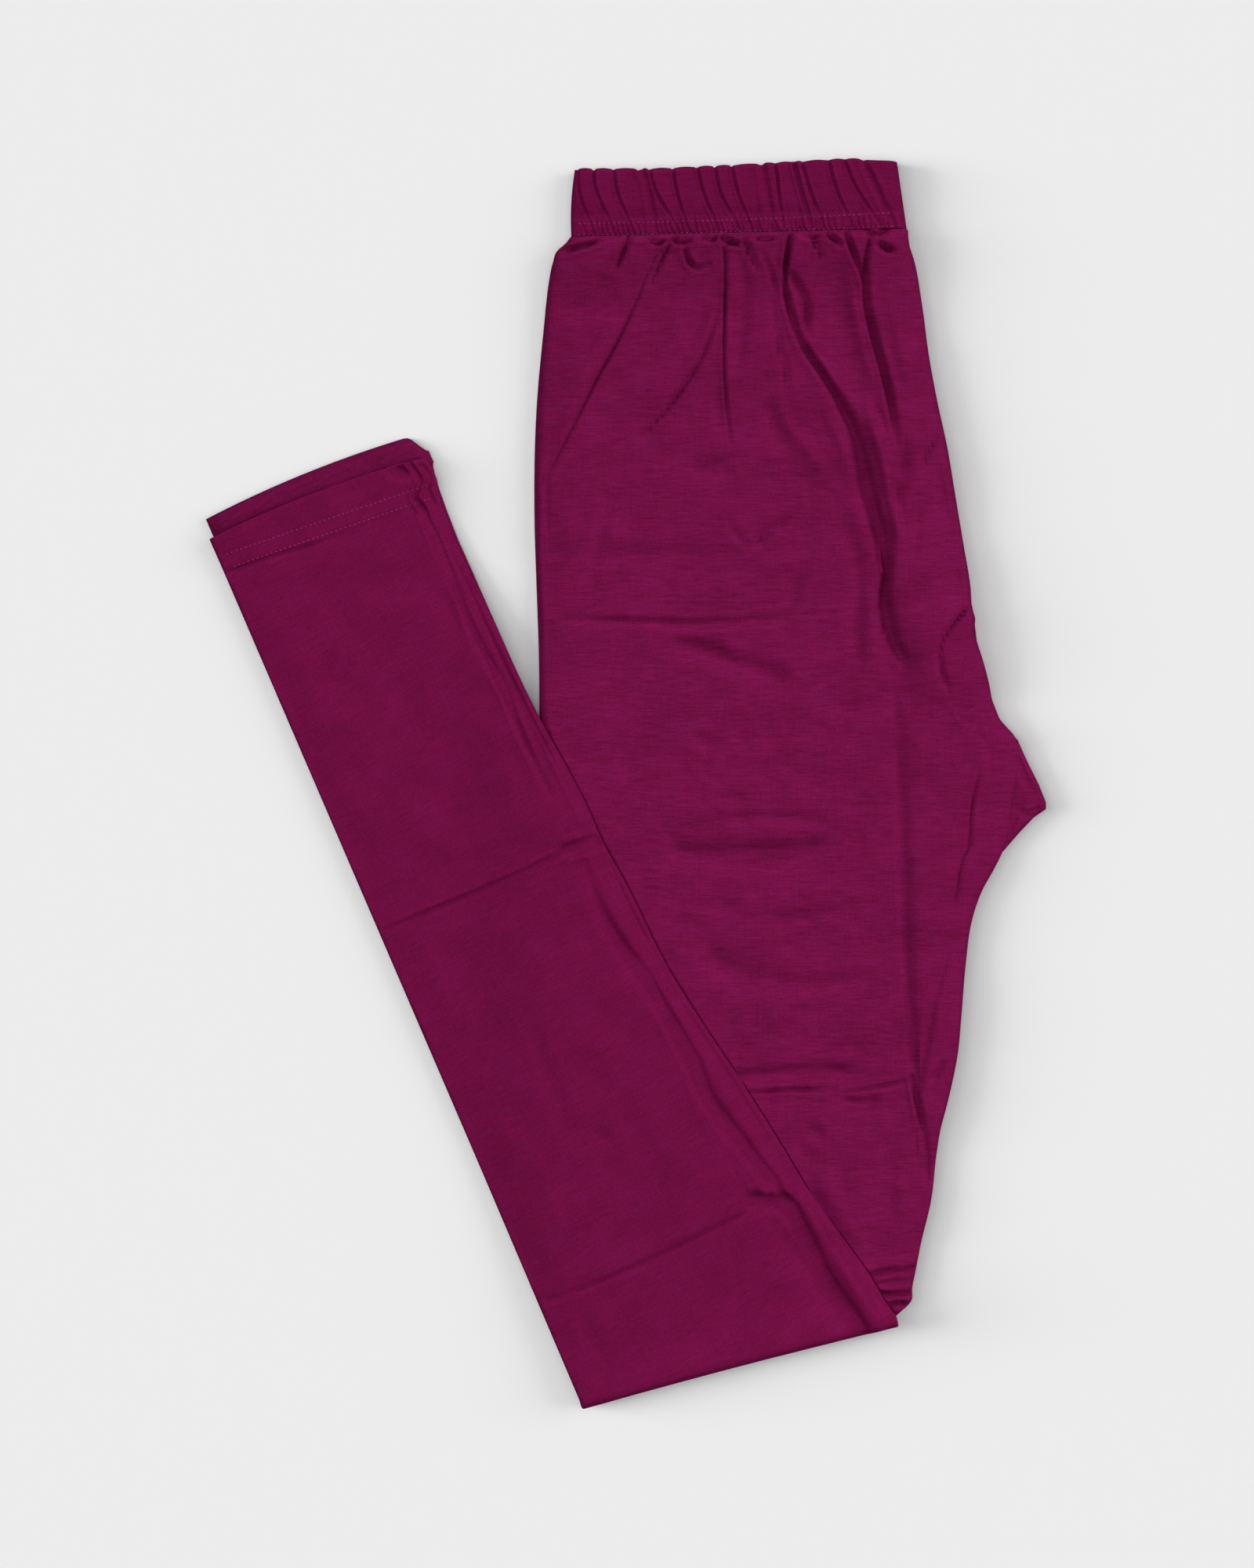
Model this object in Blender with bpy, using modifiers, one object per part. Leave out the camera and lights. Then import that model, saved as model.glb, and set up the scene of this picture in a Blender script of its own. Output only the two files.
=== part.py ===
"""Churidar leggings of cotton jersey, laid flat with one leg on the other and both shins turned up.

Metres, +Z up. The waist points to +Y and the centre seam to +X. The cloth lies on z = 0, and the
origin is at the bottom centre of the whole. Sizes are in millimetres until a point is placed.

Four plies lie on each other at the hip and thigh. Their levels, counted from the floor, are
0 and 1 for the leg below, and 2 and 3 for the leg above. Both legs then turn over one slanting
fold, so on the shins the order is reversed: level 3 lies lowest and level 0 shows.
"""
from collections import namedtuple
from math import cos, pi, sin

import bmesh
import bpy
from mathutils import Vector
import numpy as np

MM = 0.001

# The middle of the garment's outline in plan, which the origin lies under
CENTRE = Vector((0.32, -0.17))

# The cloth: one ply of jersey with its loft, the doubled hem, and the casing round its elastic
PLY = 1.0
HEM_PLY = 1.6
CASING = 2.0
GAP = 0.3
PITCH = PLY + GAP
CASING_PITCH = CASING + GAP
TOP_LEVEL = 3

# Half the distance between the middles of two plies at the seam that joins them
SEAM_HALF_GAP = 0.45

# The slanting fold over which both legs turn: its ends in plan, its inner radius and its height
FOLD_LEFT = Vector((-23.2, -313.3))
FOLD_RIGHT = Vector((137.6, -271.3))
FOLD_RADIUS = 1.5
FOLD_HEIGHT = PLY / 2 + TOP_LEVEL * PITCH + FOLD_RADIUS
FOLD_STEPS = 5
FOLD_BOW = -3.0

# Where a shin leaves the thigh's left edge and comes down to the floor
DROP_START = 13.0
DROP_LENGTH = 22.0
SHIN_CLEARANCE = 0.2

# The hem lies on the floor at the upper left, and the inner leg's hem shows beyond the other's
HEM_LEFT = Vector((-212.0, 125.0))
HEM_PEEK = Vector((-2.3, 10.5))
HEM_BOW = 3.0

# Columns round a leg: flat stretches of a ply, half of its left edge, and a quarter turn at a seam
FLAT_COLUMNS = 9
EDGE_STEPS = 3
SEAM_STEPS = 2

# A row of the hip and thigh: both ends in plan, how far the leg above stays inside the other at
# the left, the pitch of the plies at the edges, the height of the puff left and right of the
# middle, how deep the four long folds are, and what the right edge is sewn to
Thigh = namedtuple("Thigh", "left_x left_y right_x right_y peek pitch puff_l puff_r b d i k joins")
THIGH = [
    Thigh(-27.6, 278.8, 142.6, 283.1, 0.0, 2.2, 0.6, 0.6, 1.2, 1.4, 1.6, 1.4, "rise"),
    Thigh(-35.0, 266.0, 146.8, 266.0, 0.0, 1.8, 1.6, 1.6, 1.4, 1.6, 2.2, 1.8, "rise"),
    Thigh(-42.8, 232.0, 152.0, 232.0, 1.2, 1.4, 2.2, 2.2, 1.8, 1.8, 2.8, 2.2, "rise"),
    Thigh(-46.0, 200.0, 157.6, 200.0, 2.0, 1.3, 2.2, 2.4, 1.6, 1.4, 2.8, 2.0, "rise"),
    Thigh(-47.8, 166.0, 164.0, 166.0, 2.4, 1.3, 2.0, 2.4, 0.8, 0.4, 2.6, 0.8, "rise"),
    Thigh(-47.8, 130.0, 170.4, 130.0, 2.4, 1.3, 1.8, 2.2, 0.0, 0.0, 2.0, 0.0, "rise"),
    Thigh(-46.6, 100.0, 175.0, 100.0, 2.4, 1.3, 1.6, 1.8, 0.0, 0.0, 1.4, 0.0, "rise"),
    Thigh(-46.0, 85.0, 177.0, 87.0, 2.2, 1.3, 0.6, 0.6, 0.0, 0.0, 0.4, 0.0, "rise"),
    Thigh(-44.4, 42.0, 187.2, 42.0, 1.6, 1.3, 0.4, 1.4, 0.0, 0.0, 1.0, 0.0, "rise"),
    Thigh(-43.2, 20.0, 198.0, 21.0, 1.0, 1.3, 0.0, 1.2, 0.0, 0.0, 0.8, 0.0, "gusset"),
    Thigh(-41.2, -14.0, 196.6, -12.0, 0.0, 1.3, 0.0, 1.2, 0.0, 0.0, 0.8, 0.0, "gusset"),
    Thigh(-39.8, -36.0, 192.0, -34.0, 0.0, 1.3, 0.0, 1.2, 0.0, 0.0, 0.8, 0.0, "gusset"),
    Thigh(-38.2, -62.0, 180.0, -57.0, 0.0, 1.3, 0.0, 1.2, 0.0, 0.0, 0.8, 0.0, "inseam"),
    Thigh(-36.6, -88.0, 173.6, -80.0, 0.0, 1.3, 0.0, 1.2, 0.0, 0.0, 0.8, 0.0, "inseam"),
    Thigh(-34.4, -122.0, 170.6, -110.0, 0.0, 1.3, 0.0, 1.0, 0.0, 0.0, 0.6, 0.0, "inseam"),
    Thigh(-32.2, -158.0, 166.4, -142.0, 0.0, 1.3, 0.0, 0.6, 0.0, 0.0, 0.4, 0.0, "inseam"),
    Thigh(-30.0, -196.0, 160.0, -174.0, 0.0, 1.3, 0.0, 0.0, 0.0, 0.0, 0.0, 0.0, "inseam"),
    Thigh(-25.2, -276.0, 147.6, -242.0, 0.0, 1.3, 0.0, 0.0, 0.0, 0.0, 0.0, 0.0, "inseam"),
]

# Where the long folds and the ridges beside them cross the hip and thigh, as shares of its width
Folds = namedtuple("Folds", "y ridge_a b ridge_c d ridge_e i ridge_j k")
FOLDS = [
    Folds(280.0, 0.12, 0.23, 0.34, 0.45, 0.55, 0.65, 0.75, 0.86),
    Folds(200.0, 0.08, 0.15, 0.31, 0.47, 0.60, 0.73, 0.81, 0.89),
    Folds(130.0, 0.10, 0.20, 0.33, 0.47, 0.62, 0.80, 0.85, 0.90),
    Folds(0.0, 0.11, 0.22, 0.34, 0.46, 0.60, 0.76, 0.83, 0.91),
    Folds(-150.0, 0.11, 0.22, 0.34, 0.46, 0.60, 0.76, 0.83, 0.91),
    Folds(-276.0, 0.11, 0.22, 0.33, 0.44, 0.56, 0.67, 0.78, 0.89),
]

# A row of the shin, from the fold to the hem: its place along the straight left edge, its right
# end in plan, its lift off the thigh beside the fold, the puff, and the wall of a ply
Shin = namedtuple("Shin", "along right_x right_y lift puff ply")
SHIN = [
    Shin(0.06, 124.0, -248.8, 0.6, 0.2, PLY),
    Shin(0.12, 105.2, -223.6, 0.2, 0.6, PLY),
    Shin(0.19, 87.6, -197.6, 0.0, 0.0, PLY),
    Shin(0.27, 66.0, -163.0, 0.0, 0.8, PLY),
    Shin(0.35, 45.0, -130.0, 0.0, 1.0, PLY),
    Shin(0.43, 25.0, -99.0, 0.0, 1.0, PLY),
    Shin(0.50, 6.0, -62.8, 0.0, 0.8, PLY),
    Shin(0.565, -9.2, -35.6, 0.0, 0.2, PLY),
    Shin(0.63, -22.4, -6.8, 0.0, 0.8, PLY),
    Shin(0.71, -40.6, 28.0, 0.0, 0.8, PLY),
    Shin(0.79, -58.0, 61.0, 0.0, 0.8, PLY),
    Shin(0.85, -69.6, 88.0, 0.0, 0.8, PLY),
    Shin(0.952, -91.0, 140.0, 0.0, 0.0, PLY),
    Shin(0.958, -92.0, 143.0, 0.0, 0.0, HEM_PLY),
    Shin(1.0, -101.8, 166.0, 0.0, 0.0, HEM_PLY),
]

# The gusset, sewn between the legs at the crotch: how far each row reaches beyond the legs
Gusset = namedtuple("Gusset", "y tip_x")
GUSSET = [
    Gusset(19.0, 201.0),
    Gusset(12.0, 204.2),
    Gusset(0.0, 210.6),
    Gusset(-11.4, 215.1),
    Gusset(-20.0, 205.4),
    Gusset(-30.0, 196.6),
]
GUSSET_STEPS = 6

# The waistband: its corners in plan, and the valleys between its pleats, each with a lean
BAND_BOTTOM_Y = (279.1, 283.3)
BAND_BOTTOM_X = (-27.6, 142.6)
BAND_TOP_X = (-26.4, 138.2)
BAND_TOP_Y = (314.2, 318.0)
BAND_ROWS = (0.0, 0.28, 0.95, 1.0)
BAND_RIM = 0.5
PLEAT_HEIGHT = 0.8
Pleat = namedtuple("Pleat", "top_x bottom_x depth")
PLEATS = [
    Pleat(-16.8, -8.4, 1.2),
    Pleat(11.6, 21.6, 1.4),
    Pleat(23.6, 31.4, 1.0),
    Pleat(36.0, 44.4, 1.2),
    Pleat(45.2, 54.4, 1.2),
    Pleat(76.4, 79.2, 1.2),
    Pleat(86.4, 94.4, 1.6),
    Pleat(103.6, 111.4, 1.2),
    Pleat(112.4, 124.2, 1.2),
]

# Jersey as the photograph shows it, in linear light, and its dull nap
JERSEY = (0.158, 0.006, 0.056, 1.0)
CASING_COLOUR = (0.124, 0.004, 0.041, 1.0)
JERSEY_ROUGHNESS = 0.85

# A leg's middle level in the stack of plies, and whether it is the one that shows at left or hem
Leg = namedtuple("Leg", "name middle outer_ply shows_left shows_hem")
LEG_ABOVE = Leg("leg_above", 2.5, 3, 0.0, 1.0)
LEG_BELOW = Leg("leg_below", 0.5, 0, 1.0, 0.0)
STACK_MIDDLE = TOP_LEVEL / 2

# One section of a leg, ready for its points: see section_point
Row = namedtuple("Row", "left right outward angle pitch bow stops ply lift joins")


def smooth(share):
    """0 to 1 with a soft start and end, for a share of a length."""
    share = min(max(share, 0.0), 1.0)
    return share * share * (3 - 2 * share)


def placed(x, y, height):
    """A point of the garment in metres, with the origin under the middle of its outline."""
    return Vector((x - CENTRE.x, y - CENTRE.y, height)) * MM


def side_of(way, turn):
    """The plan direction a quarter turn from a way: -1 is to its right, 1 to its left."""
    return Vector((-way.y, way.x)) * turn


def thigh_stops(section):
    """Share of the width and height of the puff at each fold and ridge of a thigh row."""
    heights = [f.y for f in reversed(FOLDS)]
    shares = {
        name: float(np.interp(section.left_y, heights, [getattr(f, name) for f in reversed(FOLDS)]))
        for name in Folds._fields[1:]
    }
    stops = []
    for name, share in shares.items():
        puff = section.puff_l if share < 0.5 else section.puff_r
        depth = getattr(section, name, 0.0)
        stops.append((share, puff - depth))
    lowest = min(height for _, height in stops)
    return [(share, height - min(lowest, 0.0)) for share, height in stops]


def even_stops(puff):
    """The same for a row with no long folds: a puff that dies away towards both edges."""
    shares = [column / FLAT_COLUMNS for column in range(1, FLAT_COLUMNS)]
    return [(share, puff * smooth(4 * share * (1 - share))) for share in shares]


def thigh_rows(leg):
    """The hip and thigh, from the waistband's seam to the fold."""
    rows = []
    for section in THIGH:
        left = Vector((section.left_x + (1 - leg.shows_left) * section.peek, section.left_y))
        right = Vector((section.right_x, section.right_y))
        down = side_of((right - left).normalized(), -1)
        stops = thigh_stops(section)
        rows.append(Row(left, right, down, 0, section.pitch, 0, stops, PLY, 0, section.joins))
    return rows


def fold_rows():
    """Half a turn over the slanting fold."""
    outward = side_of((FOLD_RIGHT - FOLD_LEFT).normalized(), -1)
    rows = []
    for step in range(FOLD_STEPS + 1):
        angle = pi * step / FOLD_STEPS
        rows.append(
            Row(FOLD_LEFT, FOLD_RIGHT, outward, angle, PITCH, FOLD_BOW, even_stops(0), PLY, None, "inseam")
        )
    return rows


def shin_rows(leg):
    """The shin, from the fold to the hem. The hem of the leg above shows beyond the other's."""
    rows = []
    last = len(SHIN) - 1
    for number, section in enumerate(SHIN):
        on_hem = smooth((number - last + 3) / 3)
        peek = HEM_PEEK * (leg.shows_hem * on_hem)
        left = FOLD_LEFT.lerp(HEM_LEFT, section.along) + peek
        right = Vector((section.right_x, section.right_y)) + peek
        up = side_of((right - left).normalized(), 1)
        pitch = section.ply + GAP
        bow = HEM_BOW if number == last else 0
        stops = even_stops(section.puff)
        rows.append(Row(left, right, up, pi, pitch, bow, stops, section.ply, section.lift, "inseam"))
    return rows


def thigh_left_edge(y):
    """X of the thigh's left edge, which the shin passes over."""
    heights = [section.left_y for section in reversed(THIGH)]
    edges = [section.left_x for section in reversed(THIGH)]
    return float(np.interp(y, heights, edges))


def resting_height(plan, lift):
    """What the shin's lowest ply lies on: the thigh, or the floor left of it."""
    on_thigh = PLY + TOP_LEVEL * PITCH + GAP + SHIN_CLEARANCE + lift
    beyond = thigh_left_edge(plan.y) - plan.x
    return on_thigh * (1 - smooth((beyond - DROP_START) / DROP_LENGTH))


def section_point(row, across, level, puff):
    """A point of a row, at a distance across it and a level in the stack of plies."""
    width = (row.right - row.left).length
    way = (row.right - row.left) / width
    share = min(max(across / width, 0.0), 1.0)
    plan = row.left + way * across + row.outward * (row.bow * 4 * share * (1 - share))
    if row.lift is None:
        radius = FOLD_RADIUS + PITCH * (TOP_LEVEL - level)
        plan = plan + row.outward * (radius * sin(row.angle))
        height = FOLD_HEIGHT - radius * cos(row.angle)
    elif row.angle == 0:
        height = row.ply / 2 + level * (row.pitch + puff / TOP_LEVEL)
    else:
        spacing = row.pitch + puff / TOP_LEVEL
        height = resting_height(plan, row.lift) + row.ply / 2 + (TOP_LEVEL - level) * spacing
    return placed(plan.x, plan.y, height)


def seam_turn(row, leg, ply_level):
    """The right end of a ply, bent to meet what it is sewn to, from the flat cloth to its edge."""
    width = (row.right - row.left).length
    half_gap = SEAM_HALF_GAP / PITCH
    is_outer = ply_level == leg.outer_ply
    if row.joins == "rise":
        towards = STACK_MIDDLE + (half_gap if leg.middle > STACK_MIDDLE else -half_gap)
        radius = PITCH * abs(ply_level - STACK_MIDDLE)
        reach = width - PLY / 2 - (0 if is_outer else PITCH)
    elif row.joins == "inseam":
        towards = leg.middle + (half_gap if ply_level > leg.middle else -half_gap)
        radius = PITCH / 2
        reach = width - PLY / 2
    else:
        towards = ply_level
        radius = PITCH / 2
        reach = width - GAP / 2
    points = []
    for step in range(SEAM_STEPS + 1):
        angle = pi / 2 * step / SEAM_STEPS
        level = ply_level + (towards - ply_level) * (1 - cos(angle))
        points.append((reach - radius + radius * sin(angle), level, 0.0))
    return points


def left_edge(leg):
    """The fold at a leg's left edge, from its lower ply to its upper one."""
    radius = PITCH / 2
    points = []
    for step in range(EDGE_STEPS + 1):
        angle = pi * step / EDGE_STEPS
        across = PLY / 2 + radius * (1 - sin(angle))
        points.append((across, leg.middle - cos(angle) / 2, 0.0))
    return points


def leg_section(row, leg):
    """Distance across, level and puff of each column, from one edge of the inseam to the other."""
    width = (row.right - row.left).length
    lower = leg.middle - 0.5
    upper = leg.middle + 0.5
    flat = [(share * width, puff) for share, puff in row.stops]
    section = list(reversed(seam_turn(row, leg, lower)))
    section += [(across, lower, puff) for across, puff in reversed(flat)]
    section += left_edge(leg)
    section += [(across, upper, puff) for across, puff in flat]
    section += seam_turn(row, leg, upper)
    return section


def grid_object(name, points, walls, thickness, colour, closed=False):
    """Cloth whose grid of points is listed row by row, as a wall of the given thickness."""
    rows = len(points)
    columns = len(points[0])
    mesh = bpy.data.meshes.new(name)
    cloth = bpy.data.objects.new(name, mesh)
    bm = bmesh.new()
    bmesh.ops.create_grid(bm, x_segments=columns - 1, y_segments=rows - 1, size=0.5)
    group = bm.verts.layers.deform.verify()
    for vert in bm.verts:
        column = round((vert.co.x + 0.5) * (columns - 1))
        row = round((vert.co.y + 0.5) * (rows - 1))
        vert.co = points[row][column]
        vert[group][0] = walls[row] / thickness
    if closed:
        bmesh.ops.remove_doubles(bm, verts=bm.verts, dist=0.01 * MM)
    bmesh.ops.triangulate(bm, faces=bm.faces, quad_method="SHORT_EDGE")
    bm.to_mesh(mesh)
    bm.free()
    cloth.vertex_groups.new(name="wall")
    wall = cloth.modifiers.new("wall", "SOLIDIFY")
    wall.thickness = thickness * MM
    wall.offset = 0
    wall.vertex_group = "wall"
    cloth.data.materials.append(jersey(name, colour))
    mesh.shade_smooth()
    collection.objects.link(cloth)
    return cloth


def jersey(name, colour):
    """Dull knitted cotton with a little elastane."""
    material = bpy.data.materials.new(name + "_jersey")
    material.use_nodes = True
    shader = material.node_tree.nodes["Principled BSDF"]
    shader.inputs["Base Color"].default_value = colour
    shader.inputs["Roughness"].default_value = JERSEY_ROUGHNESS
    shader.inputs["Metallic"].default_value = 0.0
    return material


def make_leg(leg):
    """One panel, wrapped round into a flattened tube, closed at the inseam and sewn at the rise."""
    rows = thigh_rows(leg) + fold_rows() + shin_rows(leg)
    points = []
    for row in rows:
        section = leg_section(row, leg)
        points.append([section_point(row, *stop) for stop in section])
    return grid_object(leg.name, points, [row.ply for row in rows], HEM_PLY, JERSEY)


def make_gusset():
    """A diamond folded in half, so that it wraps the edge of the stack at the crotch."""
    seams = [row for row in THIGH if row.joins == "gusset"]
    seam_y = [row.right_y for row in reversed(seams)]
    seam_x = [row.right_x for row in reversed(seams)]
    middle = PLY / 2 + STACK_MIDDLE * PITCH
    points = []
    for row in GUSSET:
        start = float(np.interp(row.y, seam_y, seam_x)) + GAP
        end = row.tip_x - PLY / 2
        radius = min(STACK_MIDDLE * PITCH, (end - start) * 0.8)
        outline = [(start, pi / 2)]
        for step in range(GUSSET_STEPS + 1):
            angle = pi / 2 - pi * step / GUSSET_STEPS
            outline.append((end - radius * (1 - cos(angle)), angle))
        outline.append((start, -pi / 2))
        rise = STACK_MIDDLE * PITCH
        points.append([placed(x, row.y, middle + rise * sin(angle)) for x, angle in outline])
    return grid_object("gusset", points, [PLY] * len(points), PLY, JERSEY)


def band_stops():
    """Where the valleys and crests of the pleats cross the band's bottom and top, and how high."""
    stops = []
    ends = [Pleat(BAND_TOP_X[0], BAND_BOTTOM_X[0], 0.0)] + PLEATS
    ends.append(Pleat(BAND_TOP_X[1], BAND_BOTTOM_X[1], 0.0))
    for pleat, following in zip(ends, ends[1:]):
        if pleat.depth:
            stops.append((pleat.bottom_x, pleat.top_x, PLEAT_HEIGHT - pleat.depth))
        bottom = (pleat.bottom_x + following.bottom_x) / 2
        top = (pleat.top_x + following.top_x) / 2
        stops.append((bottom, top, PLEAT_HEIGHT))
    lowest = min(height for _, _, height in stops)
    return [(bottom, top, height - lowest) for bottom, top, height in stops]


def band_section(share):
    """The band's closed outline at a share of its height: X, level and puff, ply after ply."""
    left = BAND_BOTTOM_X[0] + (BAND_TOP_X[0] - BAND_BOTTOM_X[0]) * share + CASING / 2
    right = BAND_BOTTOM_X[1] + (BAND_TOP_X[1] - BAND_BOTTOM_X[1]) * share - CASING / 2
    flat = [(low + (high - low) * share, puff) for low, high, puff in band_stops()]

    def turn(edge, inward, level, half_levels, radius, steps):
        """Half a turn round an edge, from the level below its middle to the level above."""
        points = []
        for step in range(steps + 1):
            angle = pi * step / steps
            x = edge + inward * radius * (1 - sin(angle))
            points.append((x, level - half_levels * cos(angle), 0.0))
        return points

    half = CASING_PITCH / 2
    outer = turn(right, -1, STACK_MIDDLE, STACK_MIDDLE, 3 * half, 6)
    inner = turn(right - CASING_PITCH, -1, STACK_MIDDLE, 0.5, half, EDGE_STEPS)
    section = [(x, 3, puff) for x, puff in reversed(flat)]
    section += reversed(turn(left, 1, 2.5, 0.5, half, EDGE_STEPS))
    section += [(x, 2, puff) for x, puff in flat]
    section += reversed(inner)
    section += [(x, 1, puff) for x, puff in reversed(flat)]
    section += reversed(turn(left, 1, 0.5, 0.5, half, EDGE_STEPS))
    section += [(x, 0, puff) for x, puff in flat]
    section += outer
    return section + section[:1]


def make_waistband():
    """A gathered casing sewn into a ring, folded in half with the rest."""
    points = []
    walls = []
    for share in BAND_ROWS:
        row = []
        for x, level, puff in band_section(share):
            across = (x - BAND_TOP_X[0]) / (BAND_TOP_X[1] - BAND_TOP_X[0])
            bottom = BAND_BOTTOM_Y[0] + (BAND_BOTTOM_Y[1] - BAND_BOTTOM_Y[0]) * across
            top = BAND_TOP_Y[0] + (BAND_TOP_Y[1] - BAND_TOP_Y[0]) * across
            y = bottom + (top - bottom) * share
            height = CASING / 2 + level * (CASING_PITCH + puff / TOP_LEVEL)
            row.append(placed(x, y, height))
        points.append(row)
        walls.append(CASING * (BAND_RIM if share == 1.0 else 1.0))
    return grid_object("waistband", points, walls, CASING, CASING_COLOUR, closed=True)


for old in list(bpy.data.objects):
    bpy.data.objects.remove(old)
collection = bpy.data.collections.new("leggings")
bpy.context.scene.collection.children.link(collection)

make_leg(LEG_ABOVE)
make_leg(LEG_BELOW)
make_gusset()
make_waistband()
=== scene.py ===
"""Churidar leggings of magenta cotton jersey, laid flat on a pale floor with one leg on the other.

Both shins are turned up over one slanting fold at the knees and lie across the thighs. Sizes and
plan points are in millimetres, with the waist at +Y and the centre seam at +X, and become metres
when a mesh is made. A fold in the cloth is placed by the pixel of the photograph where it shows.
"""
from collections import namedtuple
from math import cos, pi, radians, sin

import bmesh
import bpy
from mathutils import Matrix, Vector
from mathutils.bvhtree import BVHTree
import numpy as np


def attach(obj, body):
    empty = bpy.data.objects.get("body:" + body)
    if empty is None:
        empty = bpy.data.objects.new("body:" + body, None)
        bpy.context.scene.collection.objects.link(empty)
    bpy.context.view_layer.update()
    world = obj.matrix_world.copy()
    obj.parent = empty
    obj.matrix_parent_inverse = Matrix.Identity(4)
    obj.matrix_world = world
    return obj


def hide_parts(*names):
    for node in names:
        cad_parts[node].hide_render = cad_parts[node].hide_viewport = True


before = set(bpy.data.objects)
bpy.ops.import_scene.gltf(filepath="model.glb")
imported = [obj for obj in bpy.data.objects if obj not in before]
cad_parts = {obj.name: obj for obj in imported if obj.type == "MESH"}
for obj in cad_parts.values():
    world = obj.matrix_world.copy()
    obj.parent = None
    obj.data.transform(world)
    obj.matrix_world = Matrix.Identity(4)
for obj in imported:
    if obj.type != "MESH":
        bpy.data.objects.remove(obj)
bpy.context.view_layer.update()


# The leg below
# The leg that lies underneath at the thigh: one panel of single jersey, wrapped round, closed by
# the inseam at its right, and sewn to the other leg along the rise. The cloth runs on over the
# fold, so on the shins this leg lies on top, and its turned-up hem shows at the upper left.

MM = 0.001
PLY = 0.8
HEM_WALL = 1.2

# Each leg is a flat tube of two plies, and the thighs make a stack of four. The levels count the
# plies up from the floor, the faces are the heights of their outer sides, and the two legs meet at
# the middle level. A crease sinks no further than SINK below its ply's face
LEVELS = (0, 1, 2, 3)
FACES = (0, 2.6, 3, 5.6)
STACK = FACES[-1]
STACK_MIDDLE = 1.5
LEG_ROUND = (FACES[1] - FACES[0]) / 2
SINK = 0.8

# The waist's seam, the fold at the knees, and the shins' straight left edge from the fold to the
# hem. The shins lie on the thighs, and where these end they come down to the floor
WAIST_LEFT_Y = 278.8
WAIST_RIGHT_Y = 283
WAIST_LOFT = 0.6
WAIST_REACH = 38
FOLD_LEFT = np.array((-24.2, -313.3))
FOLD_RIGHT = np.array((137.3, -271.1))
FOLD_WAY = (FOLD_RIGHT - FOLD_LEFT) / np.hypot(*(FOLD_RIGHT - FOLD_LEFT))
FOLD_OUT = np.array((FOLD_WAY[1], -FOLD_WAY[0]))
FOLD_RADIUS = 0.8
FOLD_SQUASH = 0.88
FOLD_SQUARE = 0.8
FOLD_BOW = -1
FOLD_REACH = 26
HEM_LEFT = np.array((-213, 124.9))
SHIN_LENGTH = float(np.hypot(*(HEM_LEFT - FOLD_LEFT)))
SHIN_CLEARANCE = 0.3
SHIN_DROP_START = 2
SHIN_DROP_LENGTH = 48
ON_FLOOR = 0.1
RIM_THIN = 0.5
RIM_REACH = 12

# The hem: its turned-up depth, how much thicker it lies, and how it bows. The one that peeks out
# beyond the other leg's hem has a rounded corner, and a roll between its rim and its groove
HEM_DEPTH = 17.5
HEM_STEP = 0.12
HEM_STEP_LENGTH = 4
HEM_LOFT = 0.3
HEM_LOFT_REACH = 12
HEM_BOW = 3
HEM_BOW_REACH = 10
HEM_PEEK_LEFT = np.array((-2.3, 10.5))
HEM_PEEK_RIGHT = np.array((-3, 12.4))
HEM_PEEK_FROM = 0.8
HEM_CORNER = 9.4
HEM_CORNER_AT = 0.93
HEM_CORNER_REACH = 14
HEM_ROLL = 2
HEM_GROOVE = 9.6
HEM_GROOVE_WIDTH = 1.6
HEM_ROLL_RIM = 0.3
HEM_ROLL_REACH = 3

# The outline of the thigh, down from the waist: the left edge of the leg above, and the right edge.
# At the right the leg is sewn to the other above the gusset, to itself below it, and else to the
# gusset, and one seam gives way to the next over a short change
Edge = namedtuple("Edge", "y x")
LEFT_EDGE = [Edge(*row) for row in [
    (279, -28.9), (275.5, -31.6), (272.5, -35.2), (266, -37.8), (256, -39.9), (244, -41.4), (220, -43.1),
    (196, -45.1), (172, -46.2), (136, -46.4), (100, -45.3), (64, -44.1), (34, -43.8), (-120, -35.2),
    (-313.3, -24.2),
]]
RIGHT_EDGE = [Edge(*row) for row in [
    (283.4, 143.6), (276, 144.2), (268, 146.7), (244, 151.1), (220, 154.3), (196, 158.7), (172, 163.9),
    (148, 167.9), (124, 171.9), (100, 175.8), (90, 176.6), (84, 178.2), (79, 177.4), (73, 179),
    (64, 181.9), (52, 185.1), (40, 187.6), (34.6, 189.8), (23.4, 198.9), (8, 199), (-8, 197),
    (-27, 194.3), (-34.2, 192), (-44, 187.2), (-54, 181.6), (-68, 176.7), (-92, 173.1), (-116, 171.1),
    (-140, 168.7), (-152, 166.3), (-164, 163.5), (-176, 160.3), (-188, 158.3), (-212, 155.5),
    (-236, 149.9), (-248, 147.6), (-257, 145.8), (-264, 145.2), (-271.1, 137.9),
]]
GUSSET_TOP = 23.4
GUSSET_BOTTOM = -34.2
GUSSET_TOP_OVERLAP = 2
GUSSET_BOTTOM_OVERLAP = 3
SEAM_CHANGE = 5
SEAM_GAP = 0.12
SEAM_END = 1

# How far this leg shows beyond the other at the left edge of the thigh, and between which heights
PEEK = 0.9
PEEK_TOP = 246
PEEK_BOTTOM = -60
PEEK_REACH = 34

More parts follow.
